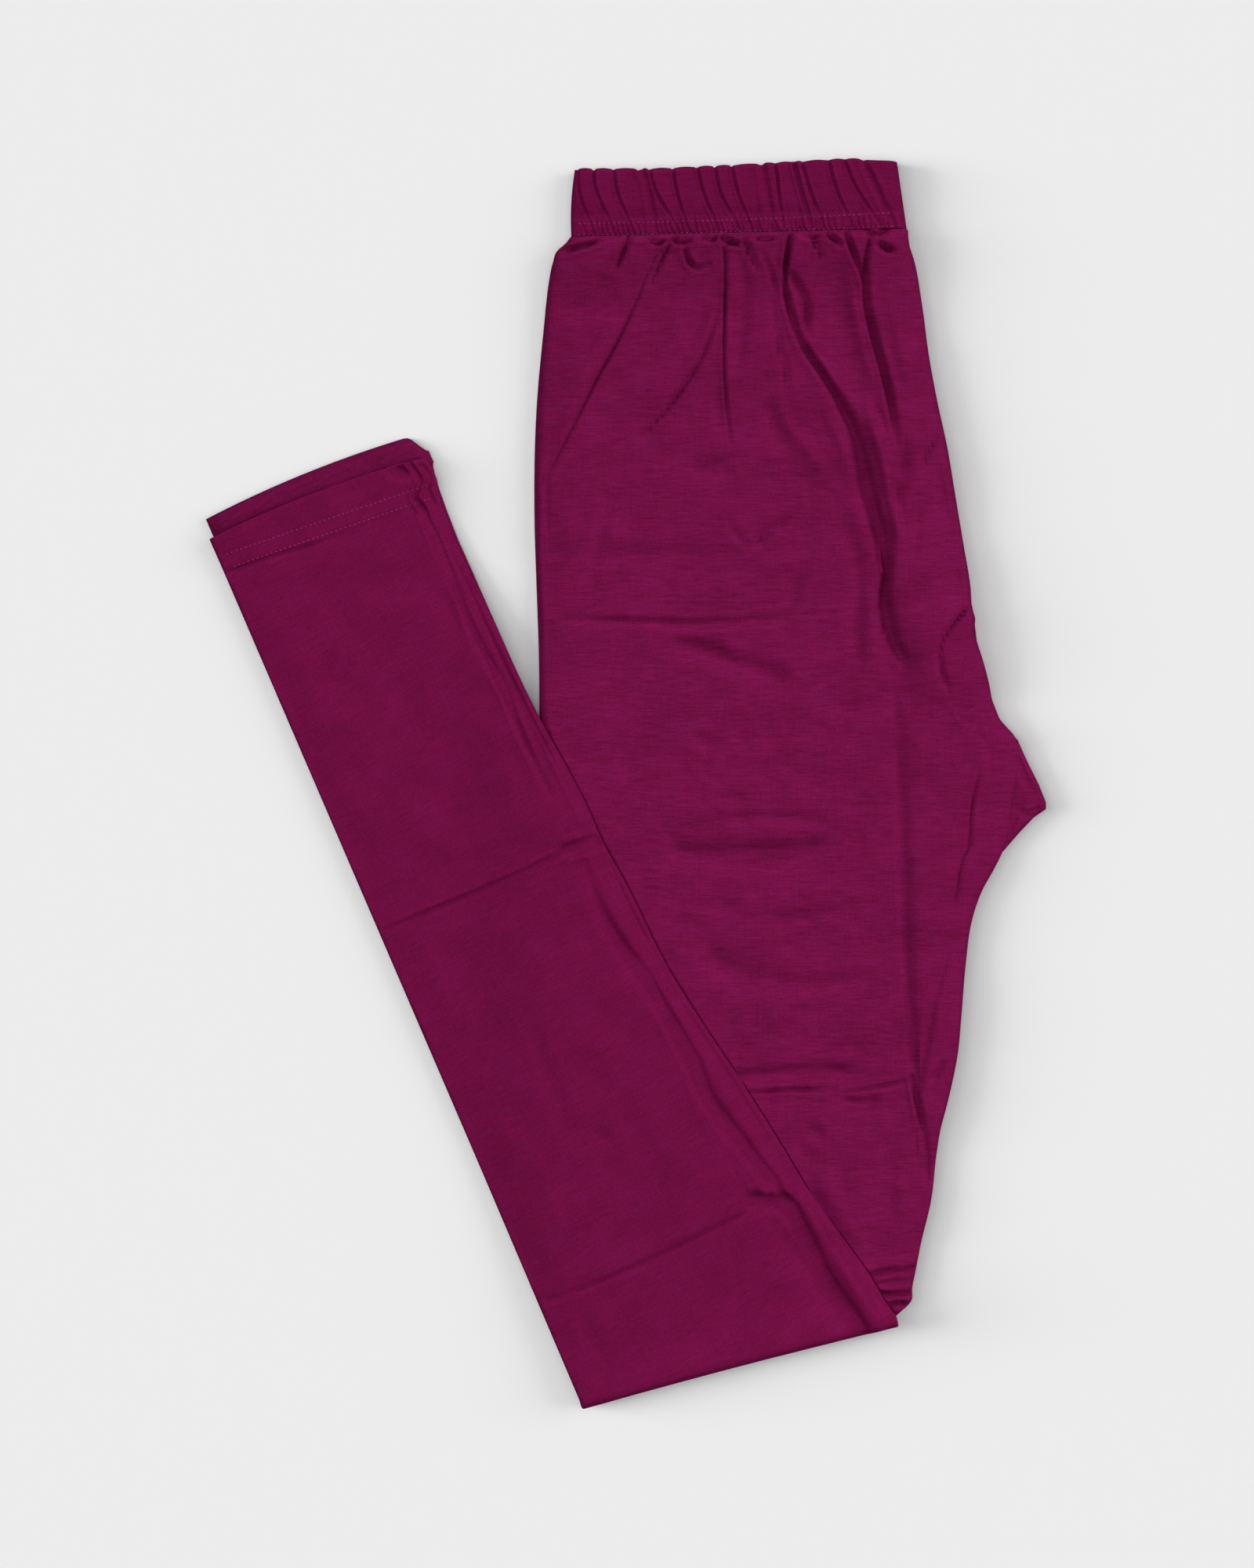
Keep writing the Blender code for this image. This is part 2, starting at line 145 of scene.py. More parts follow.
# The right edge of the shin, up from the fold, each row with its share of the straight left edge
Shin = namedtuple("Shin", "along x y")
SHIN_EDGE = [Shin(*row) for row in [
    (0, 137.3, -271.1), (0.03, 131.6, -263.2), (0.06, 123.6, -249.5), (0.095, 112.1, -233.8),
    (0.165, 92.1, -205.8), (0.215, 80.1, -185.8), (0.29, 60.1, -153.8), (0.365, 40.1, -123.8),
    (0.44, 20.1, -91.8), (0.525, 0.6, -52.4), (0.575, -12, -29.6), (0.62, -19.9, -11.8),
    (0.675, -31.9, 11.4), (0.72, -43.6, 32.2), (0.765, -54.1, 53.4), (0.82, -64.5, 76.2),
    (0.875, -75.9, 100.2), (0.925, -87.3, 124.2), (0.965, -95.8, 148.2), (0.985, -97.6, 157.2),
    (1, -101.9, 167),
]]

# Rows stand closer together round these places, as shares of the way: the place, its reach and gain
Focus = namedtuple("Focus", "place reach gain")
THIGH_FOCUS = [
    Focus(0, 0.09, 1.4), Focus(0.34, 0.02, 1.4), Focus(0.55, 0.05, 0.6), Focus(0.77, 0.03, 1.6),
    Focus(0.975, 0.03, 1.8),
]
SHIN_FOCUS = [
    Focus(0, 0.03, 1.2), Focus(0.135, 0.04, 1.2), Focus(0.565, 0.03, 2.2), Focus(0.975, 0.035, 2.4),
    Focus(0.988, 0.012, 7),
]
RIGHT_EDGE_FOCUS = [Focus(0.93, 0.06, 1.4), Focus(0, 0.03, 1)]
HIDDEN_FOCUS = [Focus(1, 0.08, 3)]
FOLD_ROWS = 11
EDGE_COLUMNS = 7
SEAM_COLUMNS = 4
HIDDEN_COLUMNS = 15
FINE_STEPS = 1200

# A leg: its middle level in the stack, the ply that shows, its count of rows on thigh and shin and
# of columns on that ply, and whether it is the one that shows at the left edge or beyond the hem
Leg = namedtuple("Leg", "name middle outer thigh_rows shin_rows columns peeks hem_peeks")
LEG_BELOW = Leg("leg_below_cloth", 0.5, 0, 78, 240, 114, 1, 0)


def smooth(share):
    """0 to 1 with a soft start and end."""
    share = np.clip(share, 0, 1)
    return share * share * (3 - 2 * share)


def through(places, values, at):
    """A soft curve through the values at rising places."""
    places = np.asarray(places, float)
    values = np.asarray(values, float)
    slopes = np.gradient(values, places)
    left = np.clip(np.searchsorted(places, at) - 1, 0, len(places) - 2)
    span = places[left + 1] - places[left]
    share = np.clip((at - places[left]) / span, 0, 1)
    rest = 1 - share
    return (
        values[left] * (1 + 2 * share) * rest**2
        + values[left + 1] * (3 - 2 * share) * share**2
        + slopes[left] * span * share * rest**2
        - slopes[left + 1] * span * share**2 * rest
    )


def edge_x(edge, y):
    """X of the thigh's left or right edge."""
    return through([-e.y for e in edge], [e.x for e in edge], -np.asarray(y))


def spread(count, focuses):
    """Places from 0 to 1, closer together round each focus."""
    fine = np.linspace(0, 1, FINE_STEPS + 1)
    density = np.ones_like(fine)
    for focus in focuses:
        density += focus.gain * np.exp(-(((fine - focus.place) / focus.reach) ** 2))
    total = np.cumsum(density)
    total = (total - total[0]) / (total[-1] - total[0])
    return np.interp(np.linspace(0, 1, count), total, fine)


def beside(plan, path):
    """How far plan points lie from a path, positive at the left of its way, and the share along it."""
    step = np.diff(path, axis=0)
    lengths = np.hypot(step[:, 0], step[:, 1])
    away = plan[:, None, :] - path[None, :-1, :]
    along = np.clip((away * step).sum(axis=2) / lengths**2, 0, 1)
    gap = away - along[..., None] * step
    distance = np.hypot(gap[..., 0], gap[..., 1])
    nearest = distance.argmin(axis=1)
    points = np.arange(len(plan))
    near_away = away[points, nearest]
    near_step = step[nearest]
    side = np.sign(near_step[:, 0] * near_away[:, 1] - near_step[:, 1] * near_away[:, 0])
    before = np.concatenate(([0.0], np.cumsum(lengths)[:-1]))
    share = (before[nearest] + along[points, nearest] * lengths[nearest]) / lengths.sum()
    return distance[points, nearest] * side, share


# A soft trough in the cloth: its path in pixels of the photograph, half its width and its depth in
# millimetres, how much of the depth it has at its start and end, how high the cloth stands up beside
# it as a share of the depth, and how many times wider its side at the left of its way is than the
# other. A negative depth makes a ridge, and a drop is a pressed edge: beyond it, at the left of its
# way, the cloth lies lower. Written downwards, the left of the way is at the right in the plan.
Crease = namedtuple(
    "Crease", "path width depth start end lip skew drop", defaults=(0, 0, 0.3, 1, False)
)
PIXEL = 0.398
PHOTO_CENTRE = np.array((799.8, 1000.4))
PATH_STEPS = 7

# The creases' profile: how much deeper they lie than written, how unevenly, the share of the way
# over which they fade in and out, and where the cloth beside them stands up, in half widths
DEEPER = 1.7
UNEVEN = 0.2
UNEVEN_WAVES = 9
UNEVEN_START = 2.4
FADE = 0.3
LIP_AT = 1.8
LIP_WIDTH = 0.8
CREASE_REACH = 3
DROP_REACH = 12
DROP_LENGTH = 6


def from_photo(pixels):
    """Plan points in millimetres for pixels of the 1600 by 2000 photograph."""
    return (np.asarray(pixels, float) - PHOTO_CENTRE) * (PIXEL, -PIXEL)


def soft_path(pixels):
    """A soft line in plan through a few pixels of the photograph."""
    points = from_photo(pixels)
    if len(points) == 2:
        return points
    stops = np.arange(len(points))
    at = np.linspace(0, stops[-1], stops[-1] * PATH_STEPS + 1)
    return np.stack([through(stops, points[:, axis], at) for axis in (0, 1)], axis=1)


def relief(plan, creases):
    """How far the creases lift or lower the cloth at plan points, in millimetres."""
    flat = plan.reshape(-1, 2)
    low = np.zeros(len(flat))
    high = np.zeros(len(flat))
    for number, crease in enumerate(creases):
        path = soft_path(crease.path)
        reach = (DROP_REACH if crease.drop else CREASE_REACH) * crease.width * max(crease.skew, 1)
        inside = (flat > path.min(0) - reach) & (flat < path.max(0) + reach)
        near = np.flatnonzero(inside.all(axis=1))
        if not len(near):
            continue
        distance, share = beside(flat[near], path)
        across = distance / (crease.width * np.where(distance > 0, crease.skew, 1))
        uneven = 1 + UNEVEN * np.sin(UNEVEN_WAVES * share + UNEVEN_START * number)
        depth = DEEPER * abs(crease.depth) * uneven
        depth *= crease.start + (1 - crease.start) * smooth(share / FADE)
        depth *= crease.end + (1 - crease.end) * smooth((1 - share) / FADE)
        bell = depth * np.exp(-(across**2))
        if crease.drop:
            past = np.maximum(distance, 0) / crease.width
            bank = high if crease.depth < 0 else low
            step = depth * (1 - np.exp(-past)) * np.exp(-((past / DROP_LENGTH) ** 2))
            bank[near] = np.maximum(bank[near], step)
        elif crease.depth > 0:
            low[near] = np.maximum(low[near], bell)
            lips = crease.lip * depth * np.exp(-(((abs(across) - LIP_AT) / LIP_WIDTH) ** 2))
            high[near] = np.maximum(high[near], lips)
        else:
            high[near] = np.maximum(high[near], bell)
    return (high - low).reshape(plan.shape[:-1])


RIPPLE_WAVES = 10
RIPPLE_SPAN = 6


def ripple(plan, seed, height, longest):
    """The faint unevenness of cloth smoothed by hand: waves of many lengths and directions."""
    random = np.random.default_rng(seed)
    total = np.zeros(plan.shape[:-1])
    for length in np.geomspace(longest / RIPPLE_SPAN, longest, RIPPLE_WAVES):
        way, phase = random.uniform(0, 2 * pi, 2)
        along = plan[..., 0] * cos(way) + plan[..., 1] * sin(way)
        total += length / longest * np.sin(2 * pi * along / length + phase)
    return height * total


SOFT_STOP = 0.1


def lifted(height, room=0):
    """A relief that sinks no further than the room above the ply below, with a soft turn there."""
    height = height + room
    return (height + np.sqrt(height**2 + SOFT_STOP)) / 2 - room


# Creases of the hip: small puckers under the band, long sharp folds that run down from its gathers,
# and one deep fold that swings from the middle over to the right
HIP_CREASES = [Crease(*row) for row in [
    (((718, 320), (738, 314), (762, 307)), 1.5, 3.4, 0.3, 0.6, 0.2),
    (((828, 306), (838, 309), (850, 306)), 1.3, 3.8, 0.4, 0.5, 0.2),
    (((856, 304), (868, 308), (880, 306)), 1.4, 4, 0.4, 0.5, 0.2),
    (((894, 302), (906, 305), (918, 303)), 1.2, 3, 0.4, 0.5, 0.2),
    (((922, 303), (932, 308), (948, 310)), 1.5, 4.4, 0.8, 0.3, 0.2),
    (((962, 302), (976, 305), (992, 302)), 1.3, 2.8, 0.3, 0.3, 0.2),
    (((1026, 298), (1036, 302), (1048, 300)), 1.2, 3.2, 0.4, 0.4, 0.2),
    (((1056, 297), (1064, 304), (1074, 311)), 1.3, 3.6, 0.8, 0.3, 0.2),
    (((1106, 292), (1118, 297), (1132, 292)), 1.5, 4, 0.5, 0.5, 0.1),
    (((1120, 308), (1130, 315), (1142, 320)), 1.6, 3.4, 0.4, 0.3, 0.2),
    (((802, 303), (794, 322), (785, 345)), 1.3, 3.2, 1, 0.3, 0.2),
    (((780, 345), (760, 378), (722, 412)), 6, 1.6, 0.4, 0.2, 0),
    (((842, 318), (826, 350), (810, 388), (785, 440), (765, 475), (745, 515), (722, 560), (702, 598),
      (690, 614)), 0.9, 1.4, 0.9, 0.8, 0.2),
    (((800, 360), (757, 450), (727, 520), (700, 582)), 2.2, -0.6),
    (((712, 562), (701, 585), (697, 620), (699, 700)), 1.2, 0.45, 0.6, 0.2, 0.1),
    (((858, 303), (845, 330), (830, 362)), 1.1, 2.6, 1, 0.2, 0.2),
    (((846, 303), (836, 325), (826, 345)), 0.7, 0.9, 1, 0.2),
    (((873, 305), (876, 325), (886, 340), (905, 337)), 1.3, 2, 0.8, 0.4),
    (((923, 303), (926, 340), (925, 400), (924, 450), (926, 500), (932, 556)), 0.8, 1.9, 1, 0.4, 0.2),
    (((915, 396), (900, 446), (872, 494), (842, 532), (814, 560)), 1.3, 1.6, 0.2, 0.8),
    (((905, 375), (882, 425), (856, 482)), 4, 1.2, 0.3, 0.2, 0),
    (((943, 303), (950, 370), (944, 440), (936, 480)), 3, 1.3, 1, 0.1, 0),
    (((918, 470), (917, 520), (924, 552)), 3, 0.7, 0.1, 0.2, 0.1),
    (((950, 303), (957, 322), (968, 344)), 1.1, 2.6, 1, 0.3, 0.2),
    (((972, 320), (984, 345), (990, 372)), 1.2, 1, 0.4, 0.4),
    (((984, 372), (992, 430), (1003, 482), (1011, 535)), 1, 1.3, 0.4, 0.3, 0.2),
    (((1008, 301), (1003, 338), (1003, 372), (1011, 404)), 1.4, 3.2, 1, 0.8, 0.2),
    (((1010, 350), (1028, 382), (1030, 425)), 2.4, 3, 0.5, 0.5, 0),
    (((1003, 372), (1010, 404), (1027, 444), (1053, 482), (1075, 520), (1093, 560), (1105, 610),
      (1114, 650), (1130, 690)), 1.5, 3.8, 0.8, 1, 0.2, 1.4),
    (((1053, 482), (1075, 522), (1094, 562), (1105, 606), (1114, 648), (1130, 690)),
     2.4, 5, 0.3, 1, 0.1, 1.5),
    (((1084, 540), (1098, 580), (1107, 620), (1116, 655), (1126, 690), (1131, 720)),
     2.8, 7, 0.3, 1, 0.1, 1.1),
    (((1056, 520), (1080, 590), (1092, 650), (1102, 700)), 5, -1, 0.3, 0.6),
    (((1106, 515), (1124, 575), (1136, 630), (1146, 680), (1150, 720)), 3, -3, 0.2, 0.6, 0, 1.2),
    (((1126, 680), (1132, 705), (1132, 735), (1129, 765), (1133, 800)), 2, 4.6, 1, 1, 0.1),
    (((1150, 700), (1150, 740), (1148, 790)), 4, -1.4, 0.8, 0.6),
    (((1098, 680), (1104, 740), (1108, 800), (1110, 870)), 5.5, -1, 0.4, 0.2),
    (((985, 500), (1010, 545), (1045, 590), (1085, 640), (1110, 672)), 3, -0.8),
    (((1008, 400), (1030, 450), (1058, 496), (1078, 540), (1090, 590)), 2.6, -1.4, 0.6, 0.2),
    (((1030, 505), (1056, 550), (1080, 600)), 1.6, 0.7),
    (((1035, 301), (1044, 318), (1053, 334)), 1.1, 2.6, 1, 0.3, 0.2),
    (((1052, 350), (1068, 378), (1094, 403)), 1.2, 1.6, 0.2, 0.4, 0.2),
    (((1044, 432), (1066, 435), (1086, 431)), 3, 1.5, 0.2, 0.2, 0),
    (((1060, 350), (1080, 430), (1104, 500)), 12, 2, 0.8, 0.2, 0),
    (((1092, 476), (1100, 494), (1108, 502)), 1.4, 0.9, 0.2, 0.2),
    (((1080, 297), (1091, 325), (1104, 356)), 1.4, 3, 1, 1, 0.1),
    (((1112, 297), (1106, 325), (1104, 356)), 1.4, 3, 1, 1, 0.1),
    (((1103, 345), (1106, 388), (1116, 432), (1127, 470), (1136, 510), (1141, 540), (1147, 576)),
     1.5, 3.6, 1, 0.2, 0.1, 1.4),
    (((1084, 350), (1092, 400), (1104, 450), (1118, 500)), 2.6, -1, 0.2, 0.2),
    (((1135, 366), (1150, 430), (1160, 500)), 3, -0.9),
    (((1112, 500), (1124, 535), (1130, 562)), 2.4, 0.9, 0.3, 0.3),
    (((1197, 558), (1183, 586), (1179, 604)), 1, 1.8, 0.5, 0.3, 0.2),
    (((930, 668), (948, 690), (962, 694), (982, 678), (1002, 668), (1022, 645)), 1.7, 1.6, 0.3, 0.2, 0.2),
    (((945, 694), (962, 702), (978, 697)), 1.6, 0.8),
    (((1005, 612), (1022, 608), (1038, 610)), 1.8, 0.6),
    (((872, 603), (905, 598), (940, 588)), 4.5, 1.4, 0.2, 0.2, 0),
    (((1156, 570), (1150, 610), (1136, 652)), 3.6, 2.2, 0.4, 0.6, 0),
    (((803, 540), (798, 590), (774, 650), (759, 700), (757, 745)), 3.4, 0.8, 0.2, 0.3, 0),
    (((694, 707), (800, 706), (930, 704), (1080, 701)), 2.4, 0.8, 0.3, 0.3, 0),
    (((700, 676), (760, 688), (820, 682)), 7, -0.6, 0.2, 0.2),
    (((1000, 800), (1010, 758), (1030, 715)), 3.6, 1, 0.2, 0.2, 0),
    (((976, 500), (988, 540), (1004, 575)), 4.5, 1.4, 0.2, 0.2, 0),
    (((1166, 330), (1170, 380), (1174, 460)), 2.6, 1, 0.3, 0.2, 0.2),
    (((1196, 590), (1206, 640), (1208, 700), (1204, 740)), 2.6, 1, 0.2, 0.3, 0.2),
    (((1166, 630), (1174, 690), (1170, 745), (1160, 790)), 6, -0.8, 0.2, 0.2),
    (((1176, 640), (1170, 690), (1156, 735)), 1.4, 0.7),
    (((1212, 630), (1220, 700), (1226, 770)), 3.2, 1.2, 0.3, 0.4, 0),
    (((1078, 665), (1092, 700), (1098, 760), (1092, 862)), 4.5, 1.6, 0.2, 0.1, 0),
]]

# Creases of the thigh: the press lines of a garment stored folded, one across and one down at the
# right, soft sags between them, and short folds that fan out from the crotch
THIGH_CREASES = [Crease(*row) for row in [
    (((690, 790), (800, 792), (900, 794), (1000, 788)), 1.8, 1.4, 0, 0.6, 0.1),
    (((985, 785), (1060, 782), (1130, 780)), 0.9, 0.6, 0.6, 0.6, 0.4),
    (((800, 796), (900, 798), (985, 794)), 2, 0.6, 0.2, 0.2, 0.2),
    (((840, 820), (900, 830), (940, 846), (992, 862)), 4.2, 2.4, 0.1, 0.8, 0),
    (((1131, 782), (1140, 850), (1144, 930), (1149, 1000), (1153, 1100), (1157, 1200), (1161, 1300),
      (1167, 1382)), 5, -1.2, 0.8, 1, 0, 1, True),
    (((1143, 880), (1148, 1000), (1152, 1100), (1156, 1200), (1160, 1300), (1165, 1372)),
     1.4, 1.2, 0.6, 1, 0, 3),
    (((1130, 765), (1135, 810), (1140, 860), (1144, 915)), 8, -3.6, 1, 0.1, 0, 1, True),
    (((1130, 772), (1136, 800), (1146, 828), (1164, 860)), 2.7, 4, 1, 0.2, 0),
    (((1150, 820), (1156, 860), (1160, 900)), 7, 1.8, 0.4, 0.1, 0),
    (((1160, 1250), (1166, 1320), (1172, 1390)), 2.6, 1.2, 0.1, 1, 0.1),
    (((908, 1018), (956, 1019)), 2.4, 1.3, 0, 0, 0.1),
    (((985, 1030), (1060, 1028), (1130, 1031)), 1.8, 0.6),
    (((906, 1046), (980, 1044), (1072, 1045)), 2.6, 1.5, 0, 0, 0),
    (((866, 1088), (900, 1092), (960, 1093), (1020, 1089), (1088, 1072)), 5.4, 3, 0.6, 0.2, 0),
    (((975, 1178), (1020, 1172), (1082, 1160)), 2.6, 1.3, 0.2, 0.2, 0),
    (((876, 1150), (915, 1158), (956, 1160)), 3.4, 1, 0, 0, 0),
    (((890, 1216), (930, 1236), (985, 1252)), 6.5, 1.8, 0.3, 0.4, 0),
    (((955, 1254), (1050, 1257), (1134, 1246)), 3.4, 1.6, 0.4, 0.3, 0),
    (((985, 1290), (1075, 1293)), 3, 0.5),
    (((1056, 1340), (1112, 1338)), 3, 0.7),
    (((905, 890), (945, 892)), 4, 0.6),
    (((880, 943), (905, 949), (932, 949)), 2.6, 1.6, 0, 0, 0.1),
    (((1064, 905), (1100, 900)), 3.4, 1.5, 0, 0, 0),
    (((1030, 890), (1058, 862), (1086, 846)), 2.4, 0.6),
    (((960, 990), (1000, 972), (1030, 958)), 2.4, 0.5),
    (((934, 1000), (944, 965), (956, 930)), 2.2, 0.4),
    (((945, 1376), (1000, 1371), (1060, 1368), (1110, 1374)), 2.8, 2.6, 1, 0.1, 0),
    (((950, 1396), (1000, 1393), (1046, 1393)), 1.1, 1.5, 0.6, 0.3, 0.4),
    (((1076, 1396), (1104, 1392), (1160, 1381)), 1.1, 1.3, 0.3, 0.6, 0.4),
    (((960, 1385), (1030, 1385), (1100, 1382)), 1.2, -0.7),
    (((1070, 1402), (1096, 1410), (1130, 1408)), 3.2, 1.8, 0.2, 0.3, 0),
    (((1024, 1440), (1056, 1452)), 3.6, 0.9),
    (((1028, 1500), (1056, 1556), (1092, 1604)), 4.2, 1.3, 0.4, 0.3, 0.1),
    (((1136, 1478), (1140, 1530), (1138, 1580)), 4, 0.45, 0, 0, 0),
    (((1064, 1470), (1078, 1520), (1080, 1560)), 3, 0.35, 0, 0, 0),
    (((1251, 985), (1242, 1030), (1238, 1080), (1229, 1100), (1222, 1140), (1216, 1184)),
     0.75, 1.5, 0.5, 0, 0.2),
    (((1216, 1184), (1207, 1226), (1192, 1284), (1182, 1340), (1173, 1384)), 2.2, 1.1, 0.2, 0.8),
    (((1166, 1376), (1172, 1408), (1179, 1446)), 1.5, 3.4, 0.9, 0.3, 0.2),
    (((1180, 1446), (1184, 1480), (1184, 1512)), 1.8, 1.2, 0.8, 0.3, 0),
    (((1208, 1352), (1196, 1372), (1184, 1386)), 1.8, 1),
    (((1234, 778), (1218, 796), (1205, 816)), 1.2, 2.6, 0.9, 0.6),
    (((1204, 814), (1200, 845), (1212, 884)), 1.2, 1.4, 0.8, 0.4, 0.4),
    (((1198, 862), (1214, 902), (1240, 948)), 1.2, -0.8),
    (((1222, 820), (1232, 880), (1250, 930)), 5, -0.5),
    (((1286, 958), (1288, 1000), (1280, 1082)), 1, 0.6, 0.4, 0.4),
    (((1265, 960), (1262, 1020), (1250, 1075)), 3.6, -0.2),
    (((1258, 940), (1266, 975), (1258, 1010)), 1.4, 0.5, 0, 0, 0.1),
    (((1106, 1632), (1130, 1625), (1166, 1621)), 1.5, 3, 0.8, 0.6, 0.4),
    (((1114, 1651), (1138, 1654), (1164, 1652)), 1.4, 2.6, 0.6, 0.6, 0.4),
    (((1128, 1671), (1146, 1666), (1163, 1669)), 1.4, 2.6, 0.6, 0.6, 0.4),
]]

# Creases of the shin: two folds across it from storage, a roll of cloth along its right edge with
# finer lines beside it, the inseam's line, and the pinches at hem and corner
SHIN_CREASES = [Crease(*row) for row in [
    (((488, 1188), (560, 1158), (640, 1124), (720, 1087), (764, 1067)), 1.5, 1.2, 0.5, 1, 0.2, 0.8),
    (((712, 1088), (737, 1082), (764, 1073)), 2.8, 3.4, 0.2, 1, 0.2),
    (((697, 1662), (760, 1638), (850, 1598), (950, 1550), (990, 1536)), 1.2, 1, 0.6, 0.8, 0, 0.7),
    (((705, 1647), (760, 1625), (850, 1585), (950, 1537)), 4.5, -0.8, 0.3, 0.3),
    (((960, 1539), (984, 1536), (1006, 1538)), 2.8, 5, 0.5, 1, 0),
    (((962, 1522), (984, 1520), (1008, 1521)), 2.6, -2.6, 0.5, 1),
    (((545, 664), (566, 712), (584, 762), (608, 815), (638, 872), (658, 922), (678, 966), (700, 1010)),
     2.6, 1.6, 0.7, 0.3, 0, 0.8),
    (((566, 745), (576, 790), (590, 810)), 5, 1, 0.2, 0.2, 0),
    (((572, 700), (602, 760), (642, 845), (690, 938), (742, 1042)), 0.9, 0.55, 0.5, 0.4),
    (((618, 780), (650, 840), (682, 910), (712, 980), (742, 1045)), 3.4, -1.8, 0.3, 0.7),
    (((744, 1098), (762, 1150), (792, 1205), (822, 1246), (850, 1292), (888, 1358), (906, 1400),
      (940, 1448), (966, 1484), (1000, 1526)), 4.4, 2.3, 0.2, 1, 0, 0.6),
    (((776, 1100), (806, 1165), (842, 1225)), 1.3, 0.6, 0.3, 0.3),
    (((870, 1330), (896, 1400), (922, 1456), (975, 1530)), 1.1, 0.6, 0.2, 0.6),
    (((850, 1310), (880, 1385), (912, 1450), (946, 1510)), 1, 0.45, 0.2, 0.2),
    (((800, 1130), (850, 1222), (900, 1306), (960, 1400), (1008, 1486)), 2.8, -1.4, 0.3, 0.3),
    (((806, 1222), (836, 1284), (872, 1352), (894, 1402), (926, 1450), (956, 1486), (982, 1512)),
     1.5, 1.4, 0.2, 0.6, 0.2),
    (((966, 1532), (988, 1534), (1008, 1544), (1026, 1576), (1046, 1620), (1070, 1660), (1100, 1702)),
     4, 4.4, 1, 1, 0),
    (((1000, 1560), (1034, 1612), (1066, 1664), (1092, 1706)), 7.5, 1.6, 0.3, 1, 0),
    (((1120, 1682), (1088, 1630), (1056, 1580), (1024, 1530)), 2.6, -2.4, 0.8, 0.4, 0, 3),
    (((672, 1290), (692, 1350), (708, 1400), (718, 1450)), 5, 0.45, 0.2, 0.3, 0),
    (((718, 1500), (724, 1560), (716, 1600)), 4, 0.35, 0.2, 0.2, 0),
    (((732, 1664), (752, 1700), (766, 1740)), 5, 0.6, 0.2, 0.2, 0),
    (((752, 1452), (784, 1450)), 4, 0.7, 0.2, 0.2, 0.1),
    (((606, 850), (650, 940), (680, 1030)), 6.5, 0.7, 0.2, 0.2, 0),
    (((780, 1400), (830, 1480), (850, 1560)), 6, 0.35, 0.2, 0.2, 0),
    (((930, 1570), (940, 1640), (944, 1700)), 2.4, 0.2, 0.2, 0.2, 0),
    (((436, 1066), (452, 1056), (470, 1044)), 1.6, 0.5),
    (((280, 733), (316, 719), (352, 707), (400, 693), (440, 679)), 1, 1, 1, 0, 0.1),
    (((492, 596), (508, 602), (526, 604)), 2.8, 2.2, 0.3, 0.8, 0),
    (((520, 588), (534, 612), (528, 632), (540, 650), (545, 668)), 1.3, 2.4, 0.8, 0.5),
    (((536, 592), (546, 606), (544, 622), (552, 640)), 1.2, 1.6, 0.6, 0.5),
    (((538, 650), (552, 684), (568, 722)), 1.8, 1.6, 0.8, 0.2, 0.2),
]]

# How high the upper face puffs up, and how much further than SINK a crease may sink. Both are less
# at a seam and at an edge, and both taper off at the gusset and just before the shin
Loft = namedtuple("Loft", "y height")
THIGH_PUFF = [
    Loft(-300, 1.6), Loft(-240, 2.2), Loft(-150, 2.4), Loft(-20, 2.6), Loft(100, 3.4),
    Loft(160, 4.2), Loft(200, 4.6), Loft(250, 4.8),
]
THIGH_ROOM = [Loft(60, 0), Loft(130, 0.5), Loft(200, 0.5), Loft(240, 0.2), Loft(279, 2)]
SHIN_PUFF = 1.5
PUFF_REACH = 20
PUFF_AT_EDGE = 0.6
PUFF_AT_SEAM = 0.3
ROOM_AT_SEAM = 0.25
ROOM_SEAM_REACH = 2.4
SEAM_REACH = 3.6
EDGE_REACH = 2.2
GUSSET_TAPER = 12
GUSSET_TAPER_Y = -6
GUSSET_TAPER_REACH = 26
SHIN_MARGIN = 0.9
SHIN_MARGIN_REACH = 1.7

# The face on the floor has the creases of the other face, elsewhere and fainter
UNDERSIDE_SHIFT = (14, -9)
UNDERSIDE_SHARE = 0.35
UNDERSIDE_MOST = 2
UNDERSIDE_REACH = 12


def loft_at(lofts, y):
    """The height of a table of lofts at each y."""
    return np.interp(y, [loft.y for loft in lofts], [loft.height for loft in lofts])


def thigh_relief(plan, inside):
    """The puffs and creases of the thigh's upper face, none of them under the shin."""
    y = plan[..., 1]
    waist_x = (LEFT_EDGE[0].x, RIGHT_EDGE[0].x)
    from_seam = np.interp(plan[..., 0], waist_x, (WAIST_LEFT_Y, WAIST_RIGHT_Y)) - y
    puff = loft_at(THIGH_PUFF, y)
    puff = puff * (PUFF_AT_SEAM + (1 - PUFF_AT_SEAM) * smooth(from_seam / SEAM_REACH))
    height = puff * (PUFF_AT_EDGE + (1 - PUFF_AT_EDGE) * smooth(inside / PUFF_REACH))
    height = height + relief(plan, HIP_CREASES + THIGH_CREASES)
    height = height + ripple(plan, seed=3, height=0.3, longest=70)
    room = SINK + loft_at(THIGH_ROOM, y)
    room = room * (ROOM_AT_SEAM + (1 - ROOM_AT_SEAM) * smooth(from_seam / ROOM_SEAM_REACH))
    shin_edge = np.array([(s.x, s.y) for s in reversed(SHIN_EDGE)])
    from_shin = beside(plan.reshape(-1, 2), shin_edge)[0].reshape(y.shape)
    clear = smooth((from_shin + SHIN_MARGIN) / SHIN_MARGIN_REACH)
    at_gusset = np.exp(-(((y - GUSSET_TAPER_Y) / GUSSET_TAPER_REACH) ** 2))
    return lifted(height, room) * smooth(inside / (EDGE_REACH + GUSSET_TAPER * at_gusset)) * clear


